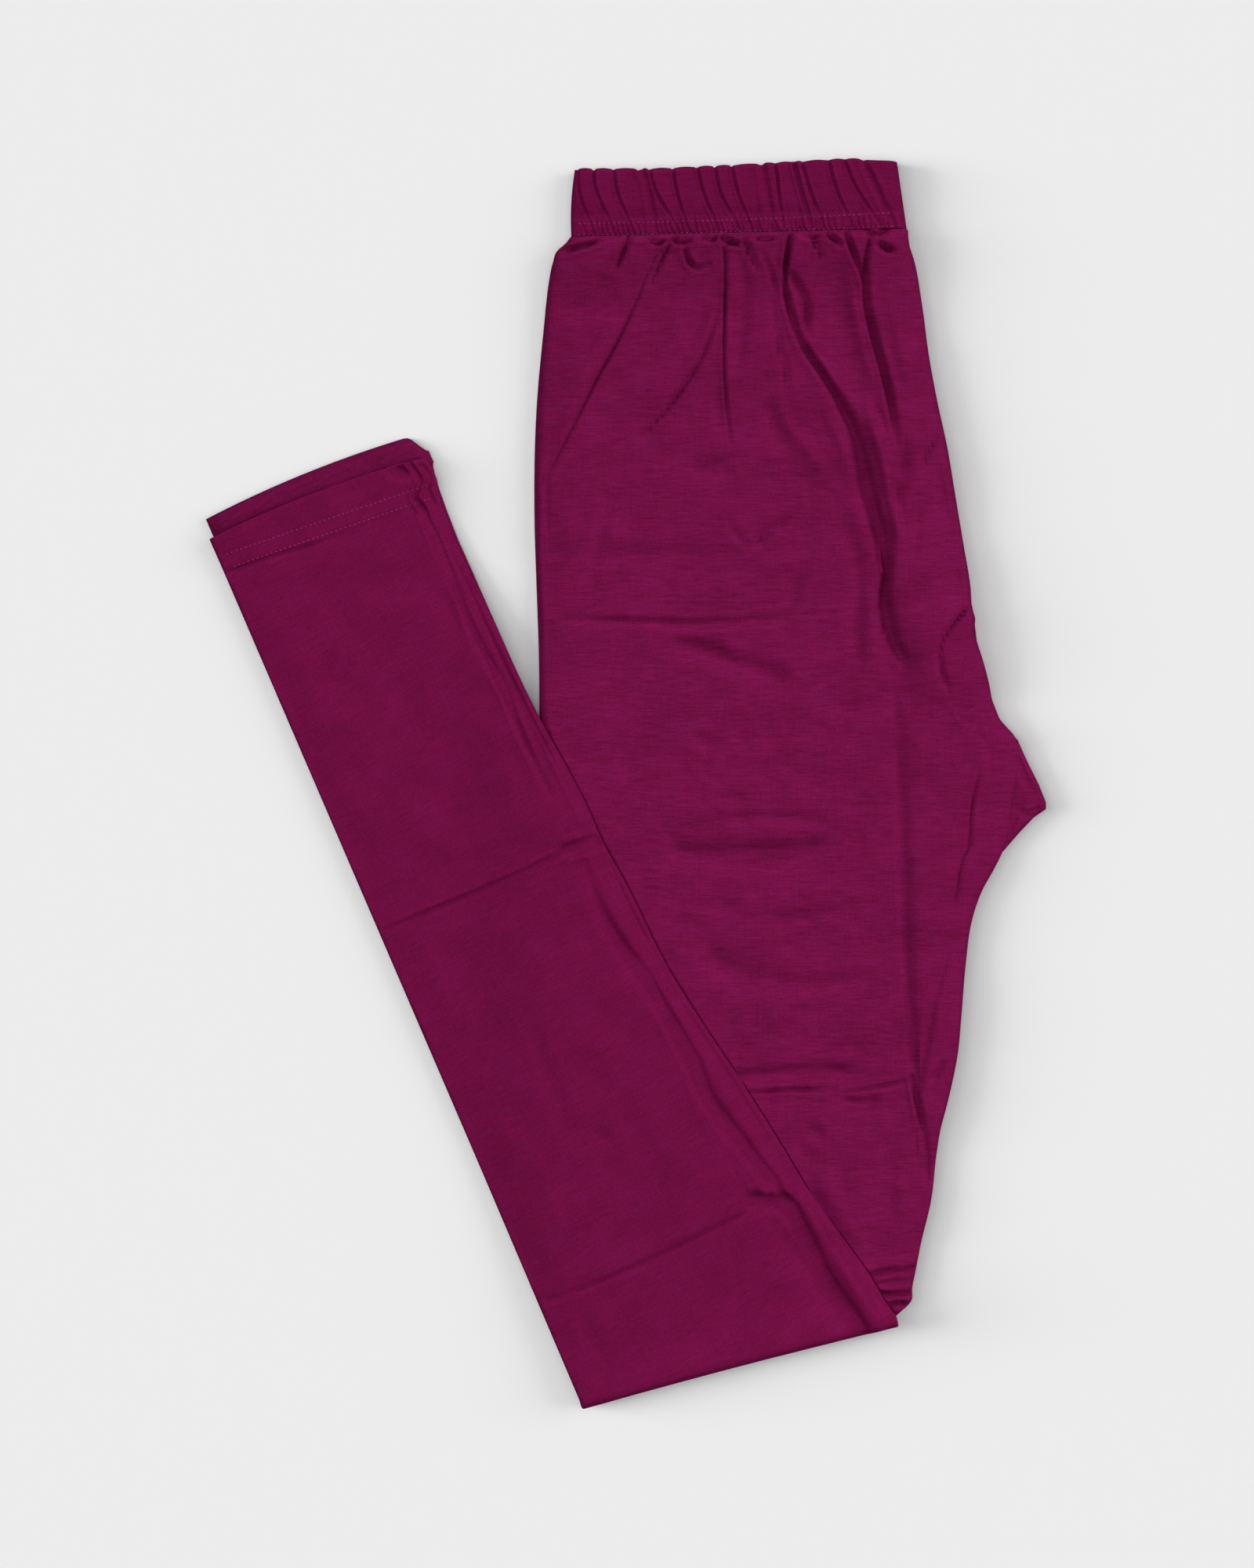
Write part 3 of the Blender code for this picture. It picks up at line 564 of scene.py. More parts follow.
def shin_relief(plan, inside):
    """The puffs and creases of the shin's upper face."""
    height = SHIN_PUFF * smooth(inside / PUFF_REACH) + relief(plan, SHIN_CREASES)
    height = height + ripple(plan, seed=8, height=0.25, longest=60)
    return lifted(height, SINK) * smooth(inside / EDGE_REACH)


def underside(plan, inside):
    """Faint creases of the face that lies on the floor, raised off it."""
    folds = -relief(plan + UNDERSIDE_SHIFT, HIP_CREASES + THIGH_CREASES)
    return UNDERSIDE_SHARE * np.clip(folds, 0, UNDERSIDE_MOST) * smooth(inside / UNDERSIDE_REACH)


# The state of each row of a leg: its ends in plan, the way out from it in plan, its turn about the
# fold, its distance beyond the fold, what it is sewn to at the right, how much its stack grows, its
# bow, its rounded corner and its roll
Rows = namedtuple("Rows", "left right out turn beyond rise gusset stack bow corner roll")


def leg_rows(leg):
    """Every row of a leg, from the waistband's seam, over the fold and up to the hem."""
    down = spread(leg.thigh_rows, THIGH_FOCUS)
    turn = np.linspace(0, pi, FOLD_ROWS + 2)[1:-1]
    up = spread(leg.shin_rows, SHIN_FOCUS)

    def by_part(on_thigh, on_fold, on_shin):
        """A value for every row from its values, or one value, on each part of the leg."""
        parts = zip((on_thigh, on_fold, on_shin), (down, turn, up))
        return np.concatenate([np.broadcast_to(value, part.shape) for value, part in parts])

    left_y = WAIST_LEFT_Y + (FOLD_LEFT[1] - WAIST_LEFT_Y) * down
    right_y = WAIST_RIGHT_Y + (FOLD_RIGHT[1] - WAIST_RIGHT_Y) * down
    peek = leg.peeks * PEEK * smooth((PEEK_TOP - left_y) / PEEK_REACH)
    peek = peek * smooth((left_y - PEEK_BOTTOM) / PEEK_REACH)
    thigh_left = np.stack([edge_x(LEFT_EDGE, left_y) - peek, left_y], axis=1)
    thigh_right = np.stack([edge_x(RIGHT_EDGE, right_y), right_y], axis=1)

    to_peek = leg.hem_peeks * smooth((up - HEM_PEEK_FROM) / (1 - HEM_PEEK_FROM))[:, None]
    shin_left = FOLD_LEFT + (HEM_LEFT - FOLD_LEFT) * up[:, None] + to_peek * HEM_PEEK_LEFT
    shares = [s.along for s in SHIN_EDGE]
    edge = [through(shares, [getattr(s, axis) for s in SHIN_EDGE], up) for axis in ("x", "y")]
    shin_right = np.stack(edge, axis=1) + to_peek * HEM_PEEK_RIGHT

    fold = np.ones((len(turn), 1))
    left = np.concatenate([thigh_left, fold * FOLD_LEFT, shin_left])
    right = np.concatenate([thigh_right, fold * FOLD_RIGHT, shin_right])
    way = (right - left) / np.linalg.norm(right - left, axis=1)[:, None]
    out = np.stack([way[:, 1], -way[:, 0]], axis=1)
    out[-len(up):] *= -1  # the shins lie turned over

    on_thigh = by_part(1, 0, 0)
    sewn = on_thigh * right[:, 1]
    rise = on_thigh * smooth((sewn - GUSSET_TOP + GUSSET_TOP_OVERLAP) / SEAM_CHANGE)
    inseam = 1 - on_thigh * smooth((sewn - GUSSET_BOTTOM - GUSSET_BOTTOM_OVERLAP) / SEAM_CHANGE)
    to_hem = (1 - up) * SHIN_LENGTH
    from_waist = (WAIST_LEFT_Y - left_y) / WAIST_REACH
    from_fold = up * SHIN_LENGTH
    hem_step = smooth((HEM_DEPTH + HEM_STEP_LENGTH / 2 - to_hem) / HEM_STEP_LENGTH)
    hem_loft = HEM_LOFT * (1 - leg.hem_peeks) * smooth(1 - to_hem / HEM_LOFT_REACH)
    hem_bow = HEM_BOW * smooth(1 - to_hem / HEM_BOW_REACH)
    fold_bow = FOLD_BOW * smooth(1 - (left_y - FOLD_LEFT[1]) / FOLD_REACH)
    in_groove = smooth((HEM_GROOVE - to_hem) / HEM_GROOVE_WIDTH)
    round_rim = smooth(HEM_ROLL_RIM + to_hem / HEM_ROLL_REACH)
    return Rows(
        left, right, out,
        turn=by_part(0, turn, pi),
        beyond=by_part(0, 0, from_fold),
        rise=rise,
        gusset=np.clip(1 - rise - inseam, 0, 1),
        stack=by_part(1 + WAIST_LOFT * (1 - smooth(from_waist)), 1, 1 + HEM_STEP * hem_step + hem_loft),
        bow=by_part(fold_bow, FOLD_BOW, hem_bow - FOLD_BOW * smooth(1 - from_fold / FOLD_REACH)),
        corner=by_part(0, 0, leg.hem_peeks * HEM_CORNER * smooth(1 - to_hem / HEM_CORNER_REACH)),
        roll=by_part(0, 0, leg.hem_peeks * HEM_ROLL * in_groove * round_rim),
    )


def seam_turn(width, rows, leg, ply):
    """The right end of a ply, bent to what it is sewn to: distance across and level of each column."""
    turn = np.linspace(0, pi / 2, SEAM_COLUMNS)[None, :]
    width = width[:, None]
    straight = SEAM_END * (1 - turn / (pi / 2))
    if ply == leg.outer:
        side = 1 if leg.middle > STACK_MIDDLE else -1
        rise_across = width - STACK / 2 * (1 - np.sin(turn))
        rise_level = ply + (STACK_MIDDLE + side * SEAM_GAP - ply) * (1 - np.cos(turn))
    else:
        rise_across = width - 2 * PLY - straight
        rise_level = ply
    side = 1 if ply > leg.middle else -1
    inseam_across = width - LEG_ROUND * (1 - np.sin(turn))
    inseam_level = ply + (leg.middle + side * SEAM_GAP - ply) * (1 - np.cos(turn))
    rise = rows.rise[:, None]
    gusset = rows.gusset[:, None]
    inseam = 1 - rise - gusset
    return (
        rise * rise_across + inseam * inseam_across + gusset * (width - straight),
        rise * rise_level + inseam * inseam_level + gusset * ply,
    )


def leg_columns(leg, rows, shares):
    """Distance across and level of every column of every row, from one edge of the inseam round the
    left edge to the other. shares places the columns of the ply that shows."""
    width = np.linalg.norm(rows.right - rows.left, axis=1)
    turn = np.linspace(0, pi, EDGE_COLUMNS)
    each_row = (len(width), 1)
    edge_across = np.tile(LEG_ROUND * (1 - np.sin(turn)), each_row)
    edge_level = np.tile(leg.middle - np.cos(turn) / 2, each_row)
    hidden = np.tile(spread(HIDDEN_COLUMNS + 2, HIDDEN_FOCUS)[1:-1], each_row)
    sides = []
    for ply in (leg.middle - 0.5, leg.middle + 0.5):
        seam_across, seam_level = seam_turn(width, rows, leg, ply)
        share = shares if ply == leg.outer else hidden
        across = LEG_ROUND + (seam_across[:, :1] - LEG_ROUND) * share
        sides.append((
            np.concatenate([across, seam_across], axis=1),
            np.concatenate([np.full_like(across, ply), seam_level], axis=1),
        ))
    (low_across, low_level), (high_across, high_level) = sides
    return (
        np.concatenate([low_across[:, ::-1], edge_across, high_across], axis=1),
        np.concatenate([low_level[:, ::-1], edge_level, high_level], axis=1),
    )


def leg_points(rows, across, level):
    """The leg's outer face in millimetres, and where each of its points lay in the cut panel."""
    width = np.linalg.norm(rows.right - rows.left, axis=1)[:, None]
    way = (rows.right - rows.left) / width
    share = np.clip(across / width, 0, 1)
    bow = rows.bow[:, None] * 4 * share * (1 - share)
    bow = bow - rows.corner[:, None] * smooth((share - HEM_CORNER_AT) / (1 - HEM_CORNER_AT))
    plan = rows.left[:, None] + way[:, None] * across[..., None] + rows.out[:, None] * bow[..., None]
    inside = np.minimum(across, width - across)
    face = np.interp(level, LEVELS, FACES)
    stack = rows.stack[:, None]
    lowest = np.clip(1 - level, 0, 1)
    highest = np.clip(level - 2, 0, 1)

    thigh = face * stack + highest * thigh_relief(plan, inside) + lowest * underside(plan, inside)

    beyond = edge_x(LEFT_EDGE, np.clip(plan[..., 1], FOLD_LEFT[1], WAIST_LEFT_Y)) - plan[..., 0]
    rest = 1 - smooth((beyond - SHIN_DROP_START) / SHIN_DROP_LENGTH)
    rest = (STACK + SHIN_CLEARANCE) * rest
    from_fold = smooth(rows.beyond[:, None] / FOLD_REACH)
    lift = (2 * FOLD_RADIUS - SHIN_CLEARANCE) * (1 - from_fold)
    rim = 1 - RIM_THIN * smooth(1 - (width - across) / RIM_REACH) * from_fold
    raised = lowest * shin_relief(plan, inside)
    shin = rest + lift + (STACK - face) * stack * rim + raised
    shin = shin + highest * (rest < ON_FLOOR) * underside(plan, inside)
    shin = shin + np.clip(3 - level, 0, 1) * rows.roll[:, None] * smooth(inside / HEM_ROLL_REACH)

    turn = rows.turn[:, None]
    radius = FOLD_RADIUS + STACK - face
    over = radius * np.sign(np.cos(turn)) * abs(np.cos(turn)) ** FOLD_SQUARE
    over = STACK + FOLD_RADIUS - over + raised * np.clip(-np.cos(turn), 0, 1)
    height = np.where(turn == 0, thigh, np.where(turn == pi, shin, over))
    in_fold = (turn > 0) & (turn < pi)
    swing = np.where(in_fold, FOLD_SQUASH * radius * abs(np.sin(turn)) ** FOLD_SQUARE, 0)
    folded = plan + FOLD_OUT * swing[..., None]

    past = (plan - FOLD_LEFT) @ FOLD_OUT
    back = np.where(turn == pi, -2 * past, 0) + radius * turn
    cut = plan + FOLD_OUT * back[..., None]
    return np.concatenate([folded, height[..., None]], axis=2), cut


def object_of(name, bm, material):
    """A smooth object of a bmesh, linked to the scene."""
    mesh = bpy.data.meshes.new(name)
    bm.to_mesh(mesh)
    bm.free()
    mesh.materials.append(material)
    mesh.shade_smooth()
    made = bpy.data.objects.new(name, mesh)
    bpy.context.scene.collection.objects.link(made)
    return made


def cloth_object(name, points, cut, walls, thickness, material):
    """Cloth from a grid of points on its outer face, in millimetres, with a wall grown inwards."""
    rows, columns = points.shape[:2]
    bm = bmesh.new()
    bmesh.ops.create_grid(bm, x_segments=columns - 1, y_segments=rows - 1, size=0.5)
    cloth = object_of(name, bm, material)
    mesh = cloth.data
    flat = np.empty(len(mesh.vertices) * 3)
    mesh.vertices.foreach_get("co", flat)
    flat = flat.reshape(-1, 3)
    column = np.rint((flat[:, 0] + 0.5) * (columns - 1)).astype(int)
    row = np.rint((flat[:, 1] + 0.5) * (rows - 1)).astype(int)
    mesh.vertices.foreach_set("co", (points[row, column] * MM).ravel())
    mesh.update()

    corners = np.empty(len(mesh.loops), dtype=int)
    mesh.loops.foreach_get("vertex_index", corners)
    layer = mesh.uv_layers.new(name="cut")
    layer.data.foreach_set("uv", (cut[row, column][corners] * MM).ravel())

    group = cloth.vertex_groups.new(name="wall")
    for wall in np.unique(walls):
        chosen = np.flatnonzero(walls[row] == wall)
        group.add(chosen.tolist(), float(wall / thickness), "REPLACE")
    shell = cloth.modifiers.new("wall", "SOLIDIFY")
    shell.thickness = thickness * MM
    shell.offset = -1
    shell.vertex_group = group.name
    return cloth


def linear(hex_colour):
    """The linear colour of an sRGB hex value."""
    parts = [int(hex_colour[i:i + 2], 16) / 255 for i in (1, 3, 5)]
    return [p / 12.92 if p <= 0.04045 else ((p + 0.055) / 1.055) ** 2.4 for p in parts] + [1]


def fill_sockets(node, sockets):
    """Gives sockets of a node their values or links."""
    for socket, value in sockets.items():
        if isinstance(value, bpy.types.NodeSocket):
            node.id_data.links.new(value, node.inputs[socket])
        else:
            node.inputs[socket].default_value = value


def add_node(tree, kind, sockets, **settings):
    """A node with its settings, values and links."""
    node = tree.nodes.new(kind)
    for name, value in settings.items():
        setattr(node, name, value)
    fill_sockets(node, sockets)
    return node


def material_of(name, sockets):
    """A material, and its shader with these values."""
    material = bpy.data.materials.new(name)
    material.use_nodes = True
    shader = material.node_tree.nodes["Principled BSDF"]
    fill_sockets(shader, sockets)
    return material, shader


# Single jersey of cotton with a little elastane: dull, with a thin nap, faint upright wales, and
# uneven yarns that streak across the leg. A pattern's size is across and along the leg, and those
# of uneven yarns are as strong as the piece is streaky. A wale is really 0.7 mm wide, and is drawn
# wider to show
Pattern = namedtuple("Pattern", "size detail roughness strength of_yarns")
PATTERNS = {
    "streaks": Pattern((8.5, 0.75), 3, 0.65, 0.8, True),
    "bars": Pattern((22, 1.8), 3, 0.6, 0.42, True),
    "blotches": Pattern((26, 14), 3, 0.5, 0.3, True),
    "wales": Pattern((0.95, 22), 2, 0.6, 0.18, False),
    "nap": Pattern((1.3, 0.6), 1, 0.5, 0.45, False),
}
SHADE_SPAN = (0.35, 0.65)
GRAIN_SHARE = 0.4
GRAIN_HEIGHT = 0.25

# Along the cut: where the tone below the fold is dimmed, painted shade on the shins, and where the hip
# grows darker up to the waist
SHIN_SHADE_SPAN = (-345, -310)
HIP_SPAN = (90, 280)
HIP_TONE = 0.93


def jersey(name, red, violet, streakiness, turned):
    """Jersey dyed between two close shades, its yarns along the cut's U and its wales along V. Below
    the fold its tone is dimmed by the share turned, painted shade on the shins."""
    material, shader = material_of(name, {
        "Roughness": 0.88, "Specular IOR Level": 0.0, "Sheen Weight": 0.15, "Sheen Roughness": 0.4,
        "Sheen Tint": linear("#C03C9C"),
    })
    tree = material.node_tree
    cut = add_node(tree, "ShaderNodeUVMap", {}, uv_map="cut").outputs[0]

    def noise(pattern):
        """A pattern from 0 to 1."""
        scale = [1 / (size * MM) for size in pattern.size] + [1]
        stretched = add_node(tree, "ShaderNodeMapping", {"Vector": cut, "Scale": scale}).outputs[0]
        return add_node(tree, "ShaderNodeTexNoise", {
            "Vector": stretched, "Scale": 1, "Detail": pattern.detail, "Roughness": pattern.roughness,
        }, noise_dimensions="2D").outputs["Fac"]

    noises = {pattern_name: noise(pattern) for pattern_name, pattern in PATTERNS.items()}
    tone = 1
    for pattern_name, pattern in PATTERNS.items():
        strength = pattern.strength * (streakiness if pattern.of_yarns else 1)
        darkest = add_node(
            tree, "ShaderNodeMath", {0: tone, 1: strength / 2}, operation="SUBTRACT"
        ).outputs[0]
        tone = add_node(
            tree, "ShaderNodeMath", {0: noises[pattern_name], 1: strength, 2: darkest},
            operation="MULTIPLY_ADD",
        ).outputs[0]
    down = add_node(tree, "ShaderNodeSeparateXYZ", {"Vector": cut}).outputs["Y"]
    # Below the fold the tone is dimmed by the share turned: painted shade
    for span, start, end in ((SHIN_SHADE_SPAN, turned, 1), (HIP_SPAN, 1, HIP_TONE)):
        change = add_node(tree, "ShaderNodeMapRange", {
            "Value": down, "From Min": span[0] * MM, "From Max": span[1] * MM, "To Min": start,
            "To Max": end,
        }).outputs[0]
        tone = add_node(tree, "ShaderNodeMath", {0: tone, 1: change}, operation="MULTIPLY").outputs[0]
    shade = add_node(tree, "ShaderNodeMapRange", {
        "Value": noises["bars"], "From Min": SHADE_SPAN[0], "From Max": SHADE_SPAN[1],
    }).outputs[0]
    dye = add_node(
        tree, "ShaderNodeMix", {0: shade, 6: linear(red), 7: linear(violet)}, data_type="RGBA"
    ).outputs[2]
    dyed = add_node(tree, "ShaderNodeHueSaturation", {"Color": dye, "Value": tone})

    grain = noises["streaks"]
    for pattern_name in ("wales", "nap"):
        grain = add_node(
            tree, "ShaderNodeMath", {0: noises[pattern_name], 1: GRAIN_SHARE, 2: grain},
            operation="MULTIPLY_ADD",
        ).outputs[0]
    bump = add_node(
        tree, "ShaderNodeBump", {"Height": grain, "Strength": 0.5, "Distance": GRAIN_HEIGHT * MM}
    )
    fill_sockets(shader, {"Base Color": dyed.outputs[0], "Normal": bump.outputs[0]})
    return material


def even_shares(leg, rows):
    """Columns of the ply that shows, closer together along its right edge."""
    return np.tile(spread(leg.columns + 2, RIGHT_EDGE_FOCUS)[1:-1], (len(rows.turn), 1))


def build_leg(leg, shares, material):
    """A leg's cloth, thicker where the hem is turned up, with its points and rows."""
    rows = leg_rows(leg)
    points, cut = leg_points(rows, *leg_columns(leg, rows, shares(leg, rows)))
    walls = np.where(rows.beyond > SHIN_LENGTH - HEM_DEPTH, HEM_WALL, PLY)
    cloth = cloth_object(leg.name, points[:, ::-1], cut[:, ::-1], walls, HEM_WALL, material)
    return cloth, points, rows


# Pink polyester thread: each seam that shows is two parallel rows of twin-needle stitches, and every
# stitch is a short thread that lies in the cloth. STITCH is half its length, width and thickness
STITCH = (0.82, 0.22, 0.2)
STITCH_PITCH = 2.5
STITCH_MARGIN = 0.8
STITCH_SINK = 0.12
HEM_STITCHES = (10, 17)
HEM_STITCH_MARGIN = 2
PROBE_FROM = 60

thread_material, _ = material_of(
    "pink_polyester_thread", {"Base Color": linear("#8E3068"), "Roughness": 0.6}
)


def stitching(name, piece, rows):
    """Stitches along rows of plan points in millimetres, on the piece's upper face where up is 1, and
    on its under face where it is -1."""
    bpy.context.view_layer.update()
    tree = BVHTree.FromObject(piece, bpy.context.evaluated_depsgraph_get())
    size = Matrix.Diagonal([*(length * MM for length in STITCH), 1])
    bm = bmesh.new()
    for path, up in rows:
        along = np.concatenate(([0.0], np.cumsum(np.hypot(*np.diff(path, axis=0).T))))
        stops = np.arange(STITCH_MARGIN, along[-1] - STITCH_MARGIN, STITCH_PITCH / 2)
        spots = []
        for x, y in zip(np.interp(stops, along, path[:, 0]), np.interp(stops, along, path[:, 1])):
            spot, normal, _, _ = tree.ray_cast(Vector((x, y, up * PROBE_FROM)) * MM, Vector((0, 0, -up)))
            spots.append((spot, normal) if spot else None)
        for before, here, after in zip(spots[:-2:2], spots[1:-1:2], spots[2::2]):
            if not (before and here and after):
                continue
            spot, normal = here
            way = (after[0] - before[0]).normalized()
            side = normal.cross(way).normalized()
            turn = Matrix((way, side, way.cross(side))).transposed().to_4x4()
            middle = spot - normal * (STITCH_SINK if up > 0 else STITCH[2]) * MM
            bmesh.ops.create_uvsphere(
                bm, u_segments=6, v_segments=5, radius=1, matrix=Matrix.Translation(middle) @ turn @ size
            )
    thread = object_of(name, bm, thread_material)
    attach(thread, "root")
    return thread


def hem_rows(points, rows, columns, up):
    """The rows of stitches round a hem, on a face of the leg from its grid of points."""
    chosen = [np.argmin(abs(rows.beyond - (SHIN_LENGTH - depth))) for depth in HEM_STITCHES]
    return [(points[row, columns, :2], up) for row in chosen]


# The shins' jersey, a shade darker than the thigh's and dimmed to 0.92 below the fold: painted shade on
# the shins
shin_jersey_painted_shade = jersey("magenta_jersey_painted_shade", "#751142", "#701245", 0.6, 0.92)
leg_below, below_points, below_rows = build_leg(LEG_BELOW, even_shares, shin_jersey_painted_shade)
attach(leg_below, "root")
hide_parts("leg_below")

# The ply that lies on top at this hem, without its ends
LOWEST_PLY = slice(
    SEAM_COLUMNS + HEM_STITCH_MARGIN, SEAM_COLUMNS + LEG_BELOW.columns - HEM_STITCH_MARGIN
)
below_hem = hem_rows(below_points, below_rows, LOWEST_PLY, 1)
hem_stitching_below = stitching("hem_stitching_below", leg_below, below_hem)


# The leg above
# The same cut as the other leg. It lies on top at the hip and thigh and shows all its folds there,
# and under the other leg on the shins, where only the end of its hem shows beyond the other's.

LEG_ABOVE = Leg("leg_above_cloth", 2.5, 3, 238, 48, 126, 0, 1)

# Columns under the shin, the least and most of a row that they take, and how they crowd at its edge.
# From where the shin's edge crosses this leg's left edge upwards, nothing is covered
COVERED_COLUMNS = 14
COVERED_LEAST = 0.02
COVERED_MOST = 0.97
COVERED_FOCUS = [Focus(1, 0.1, 2)]
SHIN_SIDE_REACH = 0.02
SHIN_SIDE_GAIN = 3
SHIN_CROSSES = 38
SHIN_CROSSES_OVER = 20
TRIED = 2000
FAR_LEFT = -1000

# Where the long folds cross the hip and thigh, as shares of its width
LongFolds = namedtuple("LongFolds", "y far_left fan middle deep right")
LONG_FOLDS = [LongFolds(*row) for row in [
    (280, 0.26, 0.36, 0.45, 0.64, 0.86),
    (240, 0.2, 0.43, 0.47, 0.65, 0.86),
    (200, 0.12, 0.36, 0.47, 0.76, 0.89),
    (160, 0.03, 0.3, 0.46, 0.79, 0.88),
    (120, 0, 0.25, 0.46, 0.82, 0.93),
    (85, 0, 0.25, 0.46, 0.8, 0.93),
    (20, 0, 0.25, 0.46, 0.76, 0.92),
    (-60, 0, 0.25, 0.46, 0.83, 0.92),
    (-152, 0, 0.25, 0.5, 0.91, 0.96),
    (-280, 0, 0.25, 0.5, 0.93, 0.98),
]]
FOLD_GAINS = (1.6, 1.2, 1.6, 1.6, 1.6)
LONG_FOLD_REACH = 0.035
COVERED_FOLD_REACH = 0.05


def fold_shares(leg, rows):
    """Columns of the ply that shows, closer together along the long folds. Where the shin covers the
    left of a row, a few columns lie under it and one follows its edge."""
    long_folds = np.array(LONG_FOLDS[::-1], float)
    middle_y = (rows.left[:, 1] + rows.right[:, 1]) / 2
    places = np.stack([np.interp(middle_y, long_folds[:, 0], at) for at in long_folds[:, 1:].T], axis=1)
    edge_y = [s.y for s in SHIN_EDGE]
    edge_x_there = [s.x for s in SHIN_EDGE]
    tried = np.linspace(0, 1, TRIED + 1)[:, None]
    shares = []
    for row, folds in enumerate(places):
        points = rows.left[row] + (rows.right[row] - rows.left[row]) * tried
        covered = points[:, 0] < np.interp(points[:, 1], edge_y, edge_x_there, right=FAR_LEFT)
        split = np.clip(covered.mean(), COVERED_LEAST, COVERED_MOST)
        rest = 1 - split
        uncovered = smooth((folds - split + COVERED_FOLD_REACH) / (2 * COVERED_FOLD_REACH))
        focuses = [
            Focus((place - split) / rest, LONG_FOLD_REACH / rest, gain)
            for place, gain in zip(folds, FOLD_GAINS * uncovered)
        ]
        focuses.append(Focus(0, SHIN_SIDE_REACH / rest, SHIN_SIDE_GAIN))
        parted = np.concatenate([
            split * spread(COVERED_COLUMNS + 1, COVERED_FOCUS)[1:],
            split + rest * spread(leg.columns - COVERED_COLUMNS + 2, focuses)[1:-1],
        ])
        focuses = [Focus(place, LONG_FOLD_REACH, gain) for place, gain in zip(folds, FOLD_GAINS)]
        whole = spread(leg.columns + 2, focuses)[1:-1]
        above = smooth((middle_y[row] - SHIN_CROSSES) / SHIN_CROSSES_OVER)
        shares.append(parted + (whole - parted) * above)
    return np.array(shares)


# Below the fold this jersey is dimmed to 0.82: painted shade on the end of its hem that peeks out
leg_jersey = jersey("magenta_jersey", "#751243", "#701346", 1, 0.82)
leg_above, above_points, above_rows = build_leg(LEG_ABOVE, fold_shares, leg_jersey)
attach(leg_above, "root")
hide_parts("leg_above")

# The ply that lies on the floor at this hem, without its ends
HIGHEST_PLY = slice(
    HEM_STITCH_MARGIN - SEAM_COLUMNS - LEG_ABOVE.columns, -SEAM_COLUMNS - HEM_STITCH_MARGIN
)
above_hem = hem_rows(above_points, above_rows, HIGHEST_PLY, -1)
hem_stitching_above = stitching("hem_stitching_above", leg_above, above_hem)


# The gusset
# A diamond of the same jersey sewn in at the crotch. The garment's fold halves it, so it wraps the
# edge of the stack and its corner sticks out at the right.

Gusset = namedtuple("Gusset", "y tip_x")
GUSSET = [
    Gusset(23, 199.6), Gusset(12, 204.6), Gusset(0, 210.6), Gusset(-9, 214.2),
    Gusset(-12.6, 214.4), Gusset(-17, 208), Gusset(-25, 200.4), Gusset(-34, 192.6),
]
GUSSET_ROWS = 60
GUSSET_SIDE_COLUMNS = 24
GUSSET_TURN_COLUMNS = 13
GUSSET_TUCK = 0.4
GUSSET_LEAST = 0.2
GUSSET_ROUND = 0.8
GUSSET_LOFT = 0.5
GUSSET_EDGE = 3
GUSSET_CREASES = [Crease(*row) for row in [
    (((1300, 1032), (1312, 1040), (1328, 1034)), 1.6, 1.6, 0.4, 0.6),
    (((1286, 1066), (1300, 1040), (1310, 1015)), 1.2, 0.8),
    (((1300, 965), (1308, 990), (1322, 1010)), 2, 0.6),
]]


def make_gusset():
    """The folded half diamond, from its seam on the upper face round the tip to the lower seam."""
    y = np.linspace(GUSSET[0].y, GUSSET[-1].y, GUSSET_ROWS)[:, None]
    tip = np.interp(-y, [-g.y for g in GUSSET], [g.tip_x for g in GUSSET])
    start = edge_x(RIGHT_EDGE, y) - GUSSET_TUCK
    radius = np.minimum(STACK / 2, np.maximum(tip - start, GUSSET_LEAST) * GUSSET_ROUND)
    side = np.linspace(0, 1, GUSSET_SIDE_COLUMNS)[None, :-1]
    turn = np.linspace(pi / 2, -pi / 2, GUSSET_TURN_COLUMNS)[None, :]
    flat = start + (tip - radius - start) * side
    x = np.concatenate([flat, tip - radius * (1 - np.cos(turn)), flat[:, ::-1]], axis=1)
    ends = np.ones_like(side)
    level = np.concatenate([ends, np.sin(turn), -ends], axis=1)
    plan = np.stack(np.broadcast_arrays(x, y), axis=2)
    edge = np.minimum(smooth((tip - x) / GUSSET_EDGE), smooth((x - start) / GUSSET_EDGE))
    z = STACK / 2 * (1 + level)
    z = z + np.clip(level, 0, 1) * edge * lifted(GUSSET_LOFT + relief(plan, GUSSET_CREASES))
    points = np.concatenate([plan, z[..., None]], axis=2)
    walls = np.full(GUSSET_ROWS, PLY)
    return cloth_object("gusset_cloth", points[:, ::-1], plan[:, ::-1], walls, PLY, leg_jersey)


gusset = make_gusset()
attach(gusset, "root")
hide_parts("gusset")


# The waistband
# A casing of the same jersey, doubled over a knitted elastic and sewn to the legs, and gathered by
# the elastic into leaning pleats. The two rows of stitches at its lower edge draw in small puckers.

CASING = 2
CASING_AT_SEAM = 1.4
CASING_WELD = 0.005
CASING_FACES = (0, 4.3, 4.6, 8.9)
BAND_LEFT = (-28.4, -26.6)
BAND_RIGHT = (143, 138)
BAND_BOTTOM = (279.1, 283.3)
BAND_TOP_AT = (0, 0.25, 0.5, 0.82, 1)
BAND_TOP = (313.8, 313.8, 315.8, 318.9, 318)
BAND_HEIGHT = 34
BAND_BULGE = 0.9
BAND_BUMP = 0.7
BAND_BUMP_MEAN = 0.6
BAND_ROWS = 46
BAND_FOCUS = [Focus(1, 0.05, 3), Focus(0.03, 0.04, 1.5), Focus(0.25, 0.03, 1)]
BAND_COLUMNS = 330
BAND_HIDDEN_COLUMNS = 40
BAND_EDGE_COLUMNS = 9
BAND_LEFT_REACH = 5
BAND_RIGHT_REACH = 6
